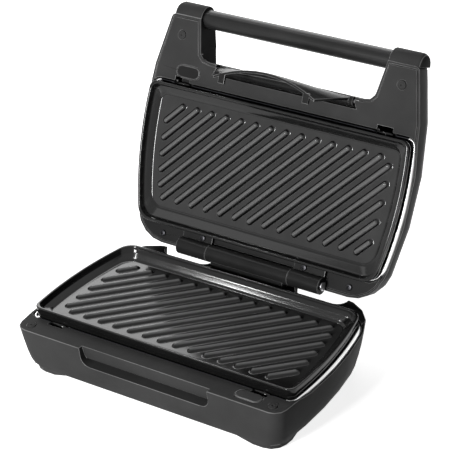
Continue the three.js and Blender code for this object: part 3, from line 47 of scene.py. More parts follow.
mm = 0.001
midHeight = 51.7        # mm, the plane where the two plates meet
yShift = -48.994        # mm, from a half's own middle to the frame's origin
hinge = {"y": 75.0, "rise": 3.35, "open": 114.0}        # mm, mm, degrees


def shift(x, y, z):
    return Matrix.Translation((x * mm, y * mm, z * mm))


def baseMatrix():
    return shift(0, yShift, midHeight)


def lidMatrix():
    # the lid is its own half turned over about Y, then swung open about the hinge
    turned = shift(0, -hinge["y"], -hinge["rise"]) @ Matrix.Rotation(math.pi, 4, "Y")
    swing = Matrix.Rotation(-math.radians(hinge["open"]), 4, "X")
    return shift(0, hinge["y"] + yShift, midHeight + hinge["rise"]) @ swing @ turned


half = {"base": baseMatrix(), "lid": lidMatrix()}


class Value:
    # wraps one socket; the operators add Math nodes
    def __init__(self, graph, socket):
        self.graph = graph
        self.socket = socket

    def combine(self, operation, first, second):
        node = self.graph.add("ShaderNodeMath", {"operation": operation}, {0: first, 1: second})
        return Value(self.graph, node.outputs[0])

    def __add__(self, other):
        return self.combine("ADD", self, other)

    def __radd__(self, other):
        return self.combine("ADD", other, self)

    def __sub__(self, other):
        return self.combine("SUBTRACT", self, other)

    def __rsub__(self, other):
        return self.combine("SUBTRACT", other, self)

    def __mul__(self, other):
        return self.combine("MULTIPLY", self, other)

    def __rmul__(self, other):
        return self.combine("MULTIPLY", other, self)


class Graph:
    # the node tree of one material or world
    def __init__(self, owner):
        self.tree = owner.node_tree
        self.tree.nodes.clear()

    def add(self, kind, settings=None, sockets=None):
        # settings come first, then the values or links of the sockets
        node = self.tree.nodes.new(kind)
        for name, value in (settings or {}).items():
            setattr(node, name, value)
        for name, value in (sockets or {}).items():
            if isinstance(value, Value):
                self.tree.links.new(value.socket, node.inputs[name])
            else:
                node.inputs[name].default_value = value
        return node

    def out(self, node, name=0):
        return Value(self, node.outputs[name])

    def place(self):
        return self.out(self.add("ShaderNodeTexCoord"), "Object")

    def noise(self, scale, detail=2.0, rough=0.5, stretch=None):
        where = self.place()
        if stretch:
            sockets = {"Vector": where, "Scale": stretch}
            where = self.out(self.add("ShaderNodeMapping", None, sockets))
        node = self.add("ShaderNodeTexNoise", None,
                        {"Vector": where, "Scale": scale, "Detail": detail, "Roughness": rough})
        return self.out(node, "Fac")

    def cells(self, scale):
        node = self.add("ShaderNodeTexVoronoi", None, {"Vector": self.place(), "Scale": scale})
        return self.out(node, "Distance")

    def ramp(self, value, low, high):
        node = self.add("ShaderNodeMapRange", {"clamp": True},
                        {"Value": value, "From Min": low, "From Max": high})
        return self.out(node, "Result")

    def mix(self, factor, first, second):
        # sockets 6, 7 and output 2 are the ones for colours
        node = self.add("ShaderNodeMix", {"data_type": "RGBA"},
                        {"Factor": factor, 6: first, 7: second})
        return self.out(node, 2)

    def surface(self, shader, output="ShaderNodeOutputMaterial"):
        self.tree.links.new(shader.outputs[0], self.add(output).inputs["Surface"])

    def finish(self, sockets, height, depth):
        bump = self.add("ShaderNodeBump", None,
                        {"Height": height, "Distance": depth, "Strength": 1.0})
        sockets["Normal"] = self.out(bump, "Normal")
        self.surface(self.add("ShaderNodeBsdfPrincipled", None, sockets))


def grey(level):
    return (level, level, level, 1.0)


def newMaterial(name):
    material = bpy.data.materials.new(name)
    material.use_nodes = True
    return material, Graph(material)


def vary(value, reach):
    # a value about 0.5 as a change to both sides of zero
    return (value - 0.5) * reach


# how each kind of surface varies: noise scales per metre, and shares
plasticWays = {"coarse": 0.35, "mottle": 28.0, "mottleRough": 0.55, "shade": (0.3, 0.7),
               "fineShare": 0.7, "coarseShare": 0.5, "roughFine": 0.16, "roughMottle": 0.08}
coatingWays = {"patches": 34.0, "flecks": (0.16, 0.06), "fleckShare": 0.35, "shade": (0.3, 0.7),
               "plain": 0.5, "roughPatches": 0.1, "roughPeel": 0.08}
metalWays = {"stain": 22.0, "shade": (0.3, 0.75), "roughStain": 0.06}
rubberWays = {"grain": 1400.0, "dust": 45.0, "shade": (0.45, 0.8), "dustShare": 0.5,
              "rough": 0.75, "roughGrain": 0.2, "depth": 0.00003}
ceramicWays = {"pits": 900.0, "pitEdge": (0.05, 0.12), "tone": 60.0, "shade": (0.3, 0.7),
               "rough": 0.35, "roughTone": 0.2, "depth": 0.00004}
lensWays = {"bands": 700.0, "stretch": (1.0, 0.1, 1.0), "shade": (0.35, 0.65),
            "rough": 0.12, "roughBands": 0.06, "coat": 0.5, "depth": 0.00002}
fineNoise = {"detail": 3.0, "rough": 0.6}
dustNoise = {"detail": 4.0, "rough": 0.6}
toneNoise = {"detail": 3.0, "rough": 0.5}


def mouldedPlastic(name, look):
    # spark-eroded mould texture: two sizes of grain and faint mottling
    material, graph = newMaterial(name)
    ways = plasticWays
    fine = graph.noise(look["grain"], **fineNoise)
    coarse = graph.noise(look["grain"] * ways["coarse"])
    mottle = graph.noise(ways["mottle"], fineNoise["detail"], ways["mottleRough"])
    colour = graph.mix(graph.ramp(mottle, *ways["shade"]), look["dark"], look["light"])
    rough = look["rough"] + vary(fine, ways["roughFine"]) + vary(mottle, ways["roughMottle"])
    graph.finish({"Base Color": colour, "Roughness": rough, "IOR": 1.47,
                  "Specular IOR Level": look["gloss"]},
                 fine * ways["fineShare"] + coarse * ways["coarseShare"], look["depth"])
    return material


def coatedMetal(name, look):
    # baked non-stick coating: orange peel, fine flecks and glossier patches; the attribute read
    # here paints light and shade on the plate: from plain up to a painted highlight on the rib
    # crowns, and down to painted shade on the rim and a painted shadow at the rib feet
    material, graph = newMaterial(name)
    ways = coatingWays
    peel = graph.noise(look["peel"])
    patches = graph.noise(ways["patches"], **fineNoise)
    flecks = graph.ramp(graph.cells(look["flecks"]), *ways["flecks"])
    # the attribute of painted light and shade on the plates
    paintedLight = graph.out(graph.add("ShaderNodeAttribute", {"attribute_name": "paintedLight"}), "Fac")
    base = graph.mix(graph.ramp(patches, *ways["shade"]), look["dark"], look["light"])
    colour = graph.mix(flecks * ways["fleckShare"], base, look["fleck"])
    # painted highlight towards the crowns, then painted shade on the rim and painted shadow at the
    # rib feet
    colour = graph.mix(graph.ramp(paintedLight, ways["plain"], 1.0), colour, look["edge"])
    colour = graph.mix(graph.ramp(paintedLight, ways["plain"], 0.0), colour, look["paintedShade"])
    rough = look["rough"] + vary(patches, ways["roughPatches"]) + vary(peel, ways["roughPeel"])
    graph.finish({"Base Color": colour, "Roughness": rough, "IOR": 1.5,
                  "Specular IOR Level": look["gloss"]}, peel, look["depth"])
    return material


def metal(name, look):
    # drawn or rolled metal: streaks along one way, fine scratches and a faint stain
    material, graph = newMaterial(name)
    ways = metalWays
    streaks = graph.noise(look["streaks"], **fineNoise, stretch=look["stretch"])
    stain = graph.noise(ways["stain"], **fineNoise)
    colour = graph.mix(graph.ramp(stain, *ways["shade"]), look["light"], look["dark"])
    rough = look["rough"] + vary(streaks, look["spread"]) + vary(stain, ways["roughStain"])
    graph.finish({"Base Color": colour, "Metallic": 1.0, "Roughness": rough},
                 streaks, look["depth"])
    return material


def softRubber(name, look):
    # a dull grain with some dust on it
    material, graph = newMaterial(name)
    ways = rubberWays
    grain = graph.noise(ways["grain"], **fineNoise)
    dust = graph.noise(ways["dust"], **dustNoise)
    dusty = graph.ramp(dust, *ways["shade"]) * ways["dustShare"]
    colour = graph.mix(dusty, look["dark"], look["light"])
    rough = ways["rough"] + vary(grain, ways["roughGrain"])
    graph.finish({"Base Color": colour, "Roughness": rough}, grain, ways["depth"])
    return material


def glazed(name, look):
    # ceramic with small pits under a thin glaze
    material, graph = newMaterial(name)
    ways = ceramicWays
    pits = graph.ramp(graph.cells(ways["pits"]), *ways["pitEdge"])
    tone = graph.noise(ways["tone"], **toneNoise)
    colour = graph.mix(graph.ramp(tone, *ways["shade"]), look["dark"], look["light"])
    graph.finish({"Base Color": colour, "Roughness": ways["rough"] + vary(tone, ways["roughTone"]),
                  "Coat Weight": look["coat"]}, pits, ways["depth"])
    return material


def colouredLens(name, look):
    # moulded lens with fine optic ribs inside, seen as soft bands of colour
    material, graph = newMaterial(name)
    ways = lensWays
    bands = graph.noise(ways["bands"], 1.0, 0.5, ways["stretch"])
    colour = graph.mix(graph.ramp(bands, *ways["shade"]), look["dark"], look["light"])
    rough = ways["rough"] + vary(bands, ways["roughBands"])
    graph.finish({"Base Color": colour, "Roughness": rough, "Coat Weight": ways["coat"]},
                 bands, ways["depth"])
    return material


looks = {
    "housing": {"grain": 1500.0, "dark": grey(0.036), "light": grey(0.046), "rough": 0.36,
                "gloss": 0.01, "depth": 0.00003},
    "trim": {"grain": 1900.0, "dark": grey(0.012), "light": grey(0.018), "rough": 0.3,
             "gloss": 0.07, "depth": 0.00002},
    # a lighter plastic for the rounded edges: a painted highlight along them
    "paintedHighlight": {"grain": 1500.0, "dark": grey(0.09), "light": grey(0.16), "rough": 0.3,
               "gloss": 0.4, "depth": 0.00001},
    "polished": {"grain": 1200.0, "dark": grey(0.014), "light": grey(0.02), "rough": 0.34,
                 "gloss": 0.15, "depth": 0.00001},
    # the two last colours of the coating are painted light: a lighter one for the highlight on rib
    # crowns, and a near-black one for painted shade on the rim and painted shadow at the rib feet
    "coating": {"peel": 900.0, "flecks": 1600.0, "dark": grey(0.02), "light": grey(0.028),
                "fleck": grey(0.05), "edge": grey(0.095), "paintedShade": grey(0.001), "rough": 0.11,
                "gloss": 0.3, "depth": 0.000012},
    "steel": {"streaks": 260.0, "stretch": (0.05, 1.0, 1.0), "light": grey(0.86),
              "dark": grey(0.72), "rough": 0.3, "spread": 0.16, "depth": 0.000004},
    "zinc": {"streaks": 900.0, "stretch": (1.0, 1.0, 1.0), "light": (0.62, 0.62, 0.63, 1),
             "dark": (0.48, 0.48, 0.5, 1), "rough": 0.34, "spread": 0.16, "depth": 0.00001},
    "black_zinc": {"streaks": 900.0, "stretch": (1.0, 1.0, 1.0), "light": (0.035, 0.035, 0.038, 1),
                   "dark": (0.02, 0.02, 0.022, 1), "rough": 0.34, "spread": 0.16, "depth": 0.00001},
    "heater": {"streaks": 500.0, "stretch": (1.0, 1.0, 1.0), "light": (0.2, 0.17, 0.14, 1),
               "dark": (0.11, 0.09, 0.085, 1), "rough": 0.5, "spread": 0.2, "depth": 0.00001},
    "rubber": {"dark": grey(0.018), "light": grey(0.05)},
    "ceramic": {"dark": (0.78, 0.74, 0.66, 1), "light": (0.88, 0.85, 0.79, 1), "coat": 0.4},
    "red": {"dark": (0.35, 0.01, 0.01, 1), "light": (0.55, 0.03, 0.02, 1)},
    "green": {"dark": (0.01, 0.2, 0.04, 1), "light": (0.03, 0.36, 0.08, 1)},
}
finishes = {
    "housing": mouldedPlastic("housing plastic", looks["housing"]),
    "trim": mouldedPlastic("trim plastic", looks["trim"]),
    "non_stick": coatedMetal("non-stick coating", looks["coating"]),
    "bright_steel": metal("bright steel", looks["steel"]),
    "zinc": metal("zinc plated steel", looks["zinc"]),
    "heater": metal("heater sheath", looks["heater"]),
    "rubber": softRubber("foot rubber", looks["rubber"]),
    "ceramic": glazed("ceramic", looks["ceramic"]),
    "lens_red": colouredLens("red lens", looks["red"]),
    "lens_green": colouredLens("green lens", looks["green"]),
}
paintedHighlightEdge = mouldedPlastic("rubbed edge", looks["paintedHighlight"])
polishedBar = mouldedPlastic("polished bar", looks["polished"])
blackZinc = metal("black zinc screw", looks["black_zinc"])
print("materials made:", len(finishes))

# widths in mm, angle in degrees, merge in m
edgeLook = {"bevel": 0.35, "small": 0.15, "angle": 32.0, "segments": 2, "merge": 0.00001}


def smoothByAngle(degrees):
    # faces smooth, edges sharper than the angle stay sharp
    tree = bpy.data.node_groups.new("smooth by angle %d" % degrees, "GeometryNodeTree")
    tree.interface.new_socket("Geometry", in_out="INPUT", socket_type="NodeSocketGeometry")
    tree.interface.new_socket("Geometry", in_out="OUTPUT", socket_type="NodeSocketGeometry")
    start = tree.nodes.new("NodeGroupInput")
    end = tree.nodes.new("NodeGroupOutput")
    faces = tree.nodes.new("GeometryNodeSetShadeSmooth")
    edges = tree.nodes.new("GeometryNodeSetShadeSmooth")
    edges.domain = "EDGE"
    edges.inputs["Shade Smooth"].default_value = False
    angle = tree.nodes.new("GeometryNodeInputMeshEdgeAngle")
    compare = tree.nodes.new("FunctionNodeCompare")
    compare.operation = "GREATER_THAN"
    compare.inputs[1].default_value = math.radians(degrees)
    tree.links.new(start.outputs[0], faces.inputs["Geometry"])
    tree.links.new(faces.outputs[0], edges.inputs["Geometry"])
    tree.links.new(angle.outputs["Unsigned Angle"], compare.inputs[0])
    tree.links.new(compare.outputs[0], edges.inputs["Selection"])
    tree.links.new(edges.outputs[0], end.inputs[0])
    return tree


smoothTree = smoothByAngle(edgeLook["angle"])


def addSmooth(piece):
    smooth = piece.modifiers.new("smooth", "NODES")
    smooth.node_group = smoothTree


def softenEdges(piece, width):
    # a small round on each sharp edge, in the piece's second material where it has one: a lighter
    # plastic that paints a highlight along the edge
    weld = piece.modifiers.new("weld", "WELD")
    weld.merge_threshold = edgeLook["merge"]
    addSmooth(piece)
    bevel = piece.modifiers.new("edges", "BEVEL")
    bevel.width = width * mm
    bevel.segments = edgeLook["segments"]
    bevel.limit_method = "ANGLE"
    bevel.angle_limit = math.radians(edgeLook["angle"])
    # clamped, the shortest edge of a piece would set the width of all
    bevel.use_clamp_overlap = False
    if len(piece.data.materials) > 1:
        bevel.material = 1
    bevel.harden_normals = True
    normals = piece.modifiers.new("normals", "WEIGHTED_NORMAL")
    normals.keep_sharp = True


slots = {entry["node"]: entry["material_slot"] for entry in frame["record"]["subparts"]}
bigPieces = {"base_housing", "lid_housing", "lid_front_frame", "lid_rear_frame",
             "base_bottom_cover", "hinge_barrel", "hinge_knuckle_left", "hinge_knuckle_right",
             "lid_latch", "lower_release_button", "upper_release_button"}
for name, node in nodes.items():
    node.data.materials.clear()
    node.data.materials.append(finishes[slots[name]])
    if slots[name] in ("housing", "trim"):
        # the second material, on the bevels, is a painted highlight
        node.data.materials.append(paintedHighlightEdge)
    softenEdges(node, edgeLook["bevel" if name in bigPieces else "small"])
print("CAD nodes finished")


def makeMesh(name, points, faces):
    mesh = bpy.data.meshes.new(name)
    faces = [tuple(map(int, face)) for face in faces]
    mesh.from_pydata((np.asarray(points) * mm).tolist(), [], faces)
    return mesh


def outward(mesh):
    # merges points that meet and turns every face to the outside
    mergeDistance = 0.000001
    work = bmesh.new()
    work.from_mesh(mesh)
    bmesh.ops.remove_doubles(work, verts=work.verts, dist=mergeDistance)
    bmesh.ops.recalc_face_normals(work, faces=work.faces)
    work.to_mesh(mesh)
    work.free()
    mesh.polygons.foreach_set("use_smooth", np.ones(len(mesh.polygons), bool))


def makePiece(mesh, matrix, body, replaced, slot, finish=None, sharp=True):
    # a new piece in place of one CAD node; sharp keeps its hard edges hard
    mesh.transform(matrix)
    outward(mesh)
    piece = bpy.data.objects.new(mesh.name, mesh)
    bpy.context.scene.collection.objects.link(piece)
    mesh.materials.append(finish or finishes[slot])
    if sharp:
        addSmooth(piece)
    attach(piece, body)
    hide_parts(replaced)
    return piece


def ringFaces(rings, count, closed=False):
    # quads between neighbouring loops of the same length; closed joins the last to the first
    number = np.arange(rings * count).reshape(rings, count)
    if closed:
        number = np.concatenate([number, number[:1]])
    after = np.roll(number, -1, 1)
    return np.stack([number[:-1], after[:-1], after[1:], number[1:]], -1).reshape(-1, 4)


def atHeight(flat, height):
    return np.concatenate([flat, np.full((len(flat), 1), height)], 1)


# each form is half its width, its front and its rear; across and along count the grid's steps
plate = {
    "sideRadius": 330.0, "widestY": -25.0, "floorDrop": 8.45, "seat": 11.3,
    "foot": (126.4, -56.4, 59.6), "skirt": (128.0, -58.0, 61.2), "rim": (128.4, -58.4, 61.6),
    "mouth": (126.0, -56.0, 59.2), "shoulder": (124.7, -54.7, 57.9), "floor": (119.4, -49.4, 50.0),
    "floorInset": 2.0, "corners": (7.0, 13.0), "leastCorner": 1.2, "cornerSteps": 12,
    "sideSteps": 60, "across": 340, "along": 150,
    "ribs": 19, "ribPitch": 15.0, "ribReach": 40.3, "ribSide": 109.3, "ribHeight": 2.7,
    "ribWidth": 6.4,
    "tabX": 100.0, "tabWidth": 14.0, "tabThickness": 2.3, "tabLength": 8.0,
    "windowLow": 1.15, "windowHigh": 5.15,
}
# the attribute of painted light and shade, and the shares of a rib's height where it changes
paintedLightAt = {"rim": 0.12, "floor": 0.5, "crown": 0.6, "crownBlend": 0.25, "foot": 0.12,
          "footBlend": 0.12}


def outline(form, inset, count, corners=None):
    # closed outline: straight front and rear, sides on wide arcs, four rounded corners;
    # split at the middle of each corner and spread evenly along each of the four sides
    width, front, rear = form
    width, front, rear = width - inset, front + inset, rear - inset
    frontR, rearR = corners or plate["corners"]
    frontR = max(frontR - inset, plate["leastCorner"])
    rearR = max(rearR - inset, plate["leastCorner"])
    radius, widest = plate["sideRadius"], plate["widestY"]
    centreX = width - radius
    quarter = math.pi / 2

    def corner(y, small):
        across = math.sqrt((radius - small) ** 2 - (y - widest) ** 2)
        return centreX + across, y, math.atan2(y - widest, across)

    def arc(x, y, small, start, end, steps=plate["cornerSteps"]):
        angle = np.linspace(start, end, steps)
        return np.stack([x + small * np.cos(angle), y + small * np.sin(angle)], 1)

    def spread(points, steps):
        length = np.concatenate([[0], np.cumsum(np.hypot(*np.diff(points, axis=0).T))])
        where = np.linspace(0, length[-1], steps + 1)
        return np.stack([np.interp(where, length, points[:, k]) for k in (0, 1)], 1)

    lowX, lowY, lowTurn = corner(front + frontR, frontR)
    highX, highY, highTurn = corner(rear - rearR, rearR)
    lowMid, highMid = (lowTurn - quarter) / 2, (highTurn + quarter) / 2
    side = np.concatenate([
        arc(lowX, lowY, frontR, lowMid, lowTurn),
        arc(centreX, widest, radius, lowTurn, highTurn, plate["sideSteps"]),
        arc(highX, highY, rearR, highTurn, highMid)])
    halfFront = arc(lowX, lowY, frontR, -quarter, lowMid)
    halfRear = arc(highX, highY, rearR, highMid, quarter)
    flip = np.array([-1.0, 1.0])
    frontSide = np.concatenate([halfFront[::-1] * flip, halfFront])
    rearSide = np.concatenate([halfRear, halfRear[::-1] * flip])
    across, along = count
    return (spread(frontSide, across), spread(side, along),
            spread(rearSide, across), spread(side[::-1] * flip, along))


def outlineLoop(form, inset, height, count, corners=None):
    sides = outline(form, inset, count, corners)
    return atHeight(np.concatenate([side[:-1] for side in sides]), height)


def ribHeights(x, y):
    # distance to the nearest rib's centre line, turned into a round rib by a quarter cosine
    best = np.full(x.shape, np.inf)
    radius, widest, side = plate["sideRadius"], plate["widestY"], plate["ribSide"]
    for i in range(plate["ribs"]):
        start = (i - (plate["ribs"] - 1) / 2) * plate["ribPitch"]
        leftY = widest + radius - math.sqrt(radius ** 2 + 2 * radius * (widest + start + side))
        rightY = widest - radius + math.sqrt(radius ** 2 - 2 * radius * (widest + start - side))
        low, high = max(-plate["ribReach"], leftY), min(plate["ribReach"], rightY)
        along = np.clip(((x - start) + y) / 2, low, high)
        best = np.minimum(best, np.hypot(x - start - along, y - along))
    return plate["ribHeight"] * np.cos(np.clip(2 * best / plate["ribWidth"], 0, 1) * math.pi / 2)


def plateArrays():
    # a floor grid stretched between the four sides, and rings carried round the same sides
    count = (plate["across"], plate["along"])
    front, right, rear, left = outline(plate["floor"], plate["floorInset"], count)
    leftUp, rearAcross = left[::-1], rear[::-1]
    u = np.linspace(0, 1, count[0] + 1)[None, :, None]
    v = np.linspace(0, 1, count[1] + 1)[:, None, None]
    patch = ((1 - v) * front[None] + v * rearAcross[None]
             + (1 - u) * leftUp[:, None] + u * right[:, None]
             - (1 - u) * (1 - v) * front[0] - u * (1 - v) * front[-1]
             - (1 - u) * v * rearAcross[0] - u * v * rearAcross[-1])
    x, y = patch[..., 0], patch[..., 1]
    drop, seat = plate["floorDrop"], plate["seat"]
    points = [np.stack([x, y, ribHeights(x, y) - drop], -1).reshape(-1, 3)]
    number = np.arange(x.size).reshape(x.shape)
    quads = [np.stack([number[:-1, :-1], number[:-1, 1:], number[1:, 1:], number[1:, :-1]],
                      -1).reshape(-1, 4)]
    ring = np.concatenate([number[0, :-1], number[:-1, -1], number[-1, :0:-1], number[:0:-1, 0]])
    # form, inset and height of each ring: up the wall, over the rim, down the skirt, to the foot
    levels = [
        ("floor", 1.5, -drop + 0.02), ("floor", 1.05, -drop + 0.11), ("floor", 0.6, -drop + 0.3),
        ("floor", 0.2, -drop + 0.58), ("floor", -1.6, -drop + 1.55), ("shoulder", 1.6, -6.05),
        ("shoulder", 0.75, -5.62), ("shoulder", 0.2, -5.45), ("shoulder", 0.0, -5.2),
        ("mouth", 0.1, -1.4), ("mouth", -0.1, -0.75), ("mouth", -0.45, -0.42),
        ("mouth", -0.9, -0.3), ("rim", 0.75, -0.3), ("rim", 0.3, -0.45), ("rim", 0.05, -0.8),
        ("rim", 0.0, -1.3),
        ("skirt", 0.0, -8.6), ("skirt", 0.25, -9.8), ("skirt", 0.9, -10.8), ("foot", 0.1, -seat),
        ("foot", 3.0, -seat), ("foot", 4.6, -10.5)]
    total = len(points[0])
    for form, inset, height in levels:
        loop = outlineLoop(plate[form], inset, height, count)
        points.append(loop)
        following = total + np.arange(len(loop))
        quads.append(np.stack([ring, following, np.roll(following, -1), np.roll(ring, -1)], -1))
        ring = following
        total += len(loop)
    return np.concatenate(points), np.concatenate(quads), ring


def tabArrays(side):
    # a flat frame with a window: two rectangles, front and back, joined round both edges
    reach, wide = plate["tabWidth"] / 2, plate["tabThickness"]
    front = plate["skirt"][1] - wide
    low, high = -plate["seat"] - plate["tabLength"], -plate["seat"] + wide
    x = side * plate["tabX"]

    def rectangle(margin, bottom, top):
        left, right = x - reach + margin, x + reach - margin
        return np.array([[left, bottom], [right, bottom], [right, top], [left, top]])

    outer = rectangle(0, low, high)
    inner = rectangle(wide, low + plate["windowLow"], low + plate["windowHigh"])
    loops = [(outer, front), (outer, front + wide), (inner, front + wide), (inner, front)]
    points = np.concatenate([np.insert(loop, 1, y, 1) for loop, y in loops])
    return points, ringFaces(len(loops), len(outer), True)


def paintedLightArray(points, total):
    # up to 1 on a rib's crown for a painted highlight, plain on the floor, less on the rim for
    # painted shade, and 0 where a rib meets the floor for a painted shadow
    grid = (plate["across"] + 1) * (plate["along"] + 1)
    crown, plain = paintedLightAt["crown"], paintedLightAt["floor"]
    paintedLight = np.full(total, paintedLightAt["rim"])
    rise = (points[:grid, 2] + plate["floorDrop"]) / plate["ribHeight"]
    paintedHighlight = np.clip((rise - crown) / paintedLightAt["crownBlend"], 0, 1)
    foot = (np.clip(rise / paintedLightAt["foot"], 0, 1)
            * np.clip((crown - rise) / paintedLightAt["footBlend"], 0, 1))
    paintedLight[:grid] = plain + (1 - plain) * paintedHighlight - plain * foot
    return paintedLight


for side, name in (("base", "lower"), ("lid", "upper")):
    points, quads, last = plateArrays()
    faces = quads.tolist() + [last.tolist()]
    parts, total = [points], len(points)
    for tab in (-1, 1):
        more, tabFaces = tabArrays(tab)
        parts.append(more)
        faces += (tabFaces + total).tolist()
        total += len(more)
    mesh = makeMesh(name + "_grill_plate", np.concatenate(parts), faces)
    # painted light and shade of the plate, stored as a point attribute
    paintedLight = mesh.attributes.new("paintedLight", "FLOAT", "POINT")
    paintedLight.data.foreach_set("value", paintedLightArray(points, total))
    makePiece(mesh, half[side], name + "_plate", name + "_plate", "non_stick", None, False)
print("plates made")


def turnedArrays(profile, steps, dent=None):
    # a profile of [radius, z] turned about Z; its two ends on the axis become fans;
    # dent(x, y) lowers the points above z = -1 mm, for a recess in a head
    profile = np.array(profile, float)
    angle = np.linspace(0, 2 * math.pi, steps + 1)[:-1]
    inner = profile[1:-1]
    x = inner[:, :1] * np.cos(angle)
    y = inner[:, :1] * np.sin(angle)
    z = np.repeat(inner[:, 1:], steps, 1)
    low, high = profile[0, 1], profile[-1, 1]
    if dent is not None:
        z = z - np.where(z > -1.0, dent(x, y), 0)
        high -= float(dent(np.zeros(1), np.zeros(1))[0])
    points = np.stack([x, y, z], -1).reshape(-1, 3)
    start, end = len(points), len(points) + 1
    points = np.concatenate([points, [[0, 0, low], [0, 0, high]]])
    faces = ringFaces(len(inner), steps).tolist()
    last = (len(inner) - 1) * steps
    for i in range(steps):
        following = (i + 1) % steps
        faces.append((start, following, i))
        faces.append((end, last + i, last + following))
    return points, faces


screw = {"head": 2.7, "height": 1.4, "shank": 1.5, "point": 0.3, "pointHeight": 0.5, "crown": 0.55,
         "chamfer": 0.1, "neck": 0.05, "bar": 0.42, "reach": 1.5, "depth": 0.7, "wall": 0.24,
         "endWall": 0.3, "steps": 48, "crownSteps": 22}


def crossDent(x, y):
    # a cross recess: two bars whose walls slope, cut off at the reach
    def arm(across, along):
        side = np.clip((screw["bar"] + screw["wall"] / 2 - np.abs(across)) / screw["wall"], 0, 1)
        end = np.clip((screw["reach"] - np.abs(along)) / screw["endWall"], 0, 1)
        return side * end
    return screw["depth"] * np.maximum(arm(x, y), arm(y, x))


def screwArrays(length):
    # shank with a blunt point, flat underside and a domed head, from the tip up
    head, height, shank, crown = (screw[key] for key in ("head", "height", "shank", "crown"))
    dome = [(head * math.cos(t), -crown + crown * math.sin(t))
            for t in np.linspace(0, math.pi / 2, screw["crownSteps"])[:-1]]
    profile = [(0, -length), (shank - screw["point"], -length),
               (shank, -length + screw["pointHeight"]), (shank, -height - screw["neck"]),
               (shank + screw["neck"], -height), (head - screw["chamfer"], -height),
               (head, -height + screw["chamfer"]), *dome, (0, 0)]
    return turnedArrays(profile, screw["steps"], crossDent)


flipped = Matrix.Rotation(math.pi, 4, "X")
screws = [
    # node, half, x, y, z of the head's top, length, facing down
    ("lid_frame_screw_outer_right", "lid", -94, 70.5, -6.5, 13.7, False),
    ("lid_frame_screw_outer_left", "lid", 94, 70.5, -6.5, 13.7, False),
    ("lid_frame_screw_inner_right", "lid", -51, 64.5, -3.2, 17.0, False),
    ("lid_frame_screw_inner_left", "lid", 51, 64.5, -3.2, 17.0, False),
    ("base_cover_screw_front_left", "base", -74, -67, -45.2, 13.4, True),
    ("base_cover_screw_front_right", "base", 74, -67, -45.2, 13.4, True),
    ("base_cover_screw_rear_left", "base", -30, 64.5, -45.2, 13.4, True),
    ("base_cover_screw_rear_right", "base", 30, 64.5, -45.2, 13.4, True),
]
for node, side, x, y, z, length, down in screws:
    place = half[side] @ shift(x, y, z)
    makePiece(makeMesh("cross_" + node, *screwArrays(length)), place @ flipped if down else place,
              side, node, "zinc", blackZinc if side == "lid" else None)

# radius and z from the stem's foot up to the rings and the dimple of the cap
plug = [(0, -16.2), (2.15, -16.2), (2.4, -15.95), (2.4, -9.25), (2.45, -9.2), (3.75, -9.2),
        (3.9, -9.05), (3.9, -8.0), (3.84, -7.8), (3.7, -7.62), (3.5, -7.52), (3.2, -7.5),
        (2.95, -7.52), (2.8, -7.6), (2.65, -7.66), (2.5, -7.6), (2.35, -7.52), (2.1, -7.47),
        (1.5, -7.42), (1.05, -7.42), (0.9, -7.5), (0.8, -7.75), (0.7, -8.0), (0.4, -8.02),
        (0, -8.02)]
plugSteps = 64
for node, side, x, y in (("base_corner_plug_left", "base", -118.3, -72.2),
                         ("base_corner_plug_right", "base", 118.3, -72.2),
                         ("lid_corner_plug_right", "lid", -107.6, -100.5),
                         ("lid_corner_plug_left", "lid", 107.6, -100.5)):
    makePiece(makeMesh("cap_" + node, *turnedArrays(plug, plugSteps)), half[side] @ shift(x, y, 0),
              side, node, "trim", finishes["housing"])

bar = {"radius": 8.0, "wall": 2.0, "end": 107.5, "round": 0.4, "inset": 4, "y": -117.4, "z": -19.7,
       "rings": 40, "steps": 96}


def barArrays():
    # a tube along X: outer and inner line, with small rounds at both ends
    outer, inner, end = bar["radius"], bar["radius"] - bar["wall"], bar["end"]
    small, inset = bar["round"], bar["inset"]
    line = [(inner, -end + small), (inner + small, -end),
            (outer - small, -end), (outer, -end + small)]
    line += [(outer, x) for x in np.linspace(-end + inset, end - inset, bar["rings"])]
    line += [(outer, end - small), (outer - small, end),
             (inner + small, end), (inner, end - small)]
    angle = np.linspace(0, 2 * math.pi, bar["steps"] + 1)[:-1]
    line = np.array(line)
    points = np.stack([np.repeat(line[:, 1:], bar["steps"], 1), line[:, :1] * np.cos(angle),
                       line[:, :1] * np.sin(angle)], -1).reshape(-1, 3)
    return points, ringFaces(len(line), bar["steps"], True)


makePiece(makeMesh("smooth_handle_bar", *barArrays()), half["lid"] @ shift(0, bar["y"], bar["z"]),
          "lid", "handle_bar", "housing", polishedBar)
print("round pieces made")

tray = {"form": (131.0, -61.0, 62.7), "corners": (7.7, 15.7), "sheet": 0.8, "flange": -12.4,
        "wall": 6.7, "floor": 9.2, "depth": -25.0, "hole": 4.0, "holeX": 30.0, "holeY": 8.0,
        "notchX": 100.0, "notchHalf": 8.9, "notchY": -57.4, "count": (170, 80),
        "floorShares": [0.7, 0.35, 0.12, 0.0],
        # the last three mark where the strip of painted shade in front of the plate lies
        "shadeFront": -56.0, "shadeHalf": 122.0, "shadeLow": -14.0}


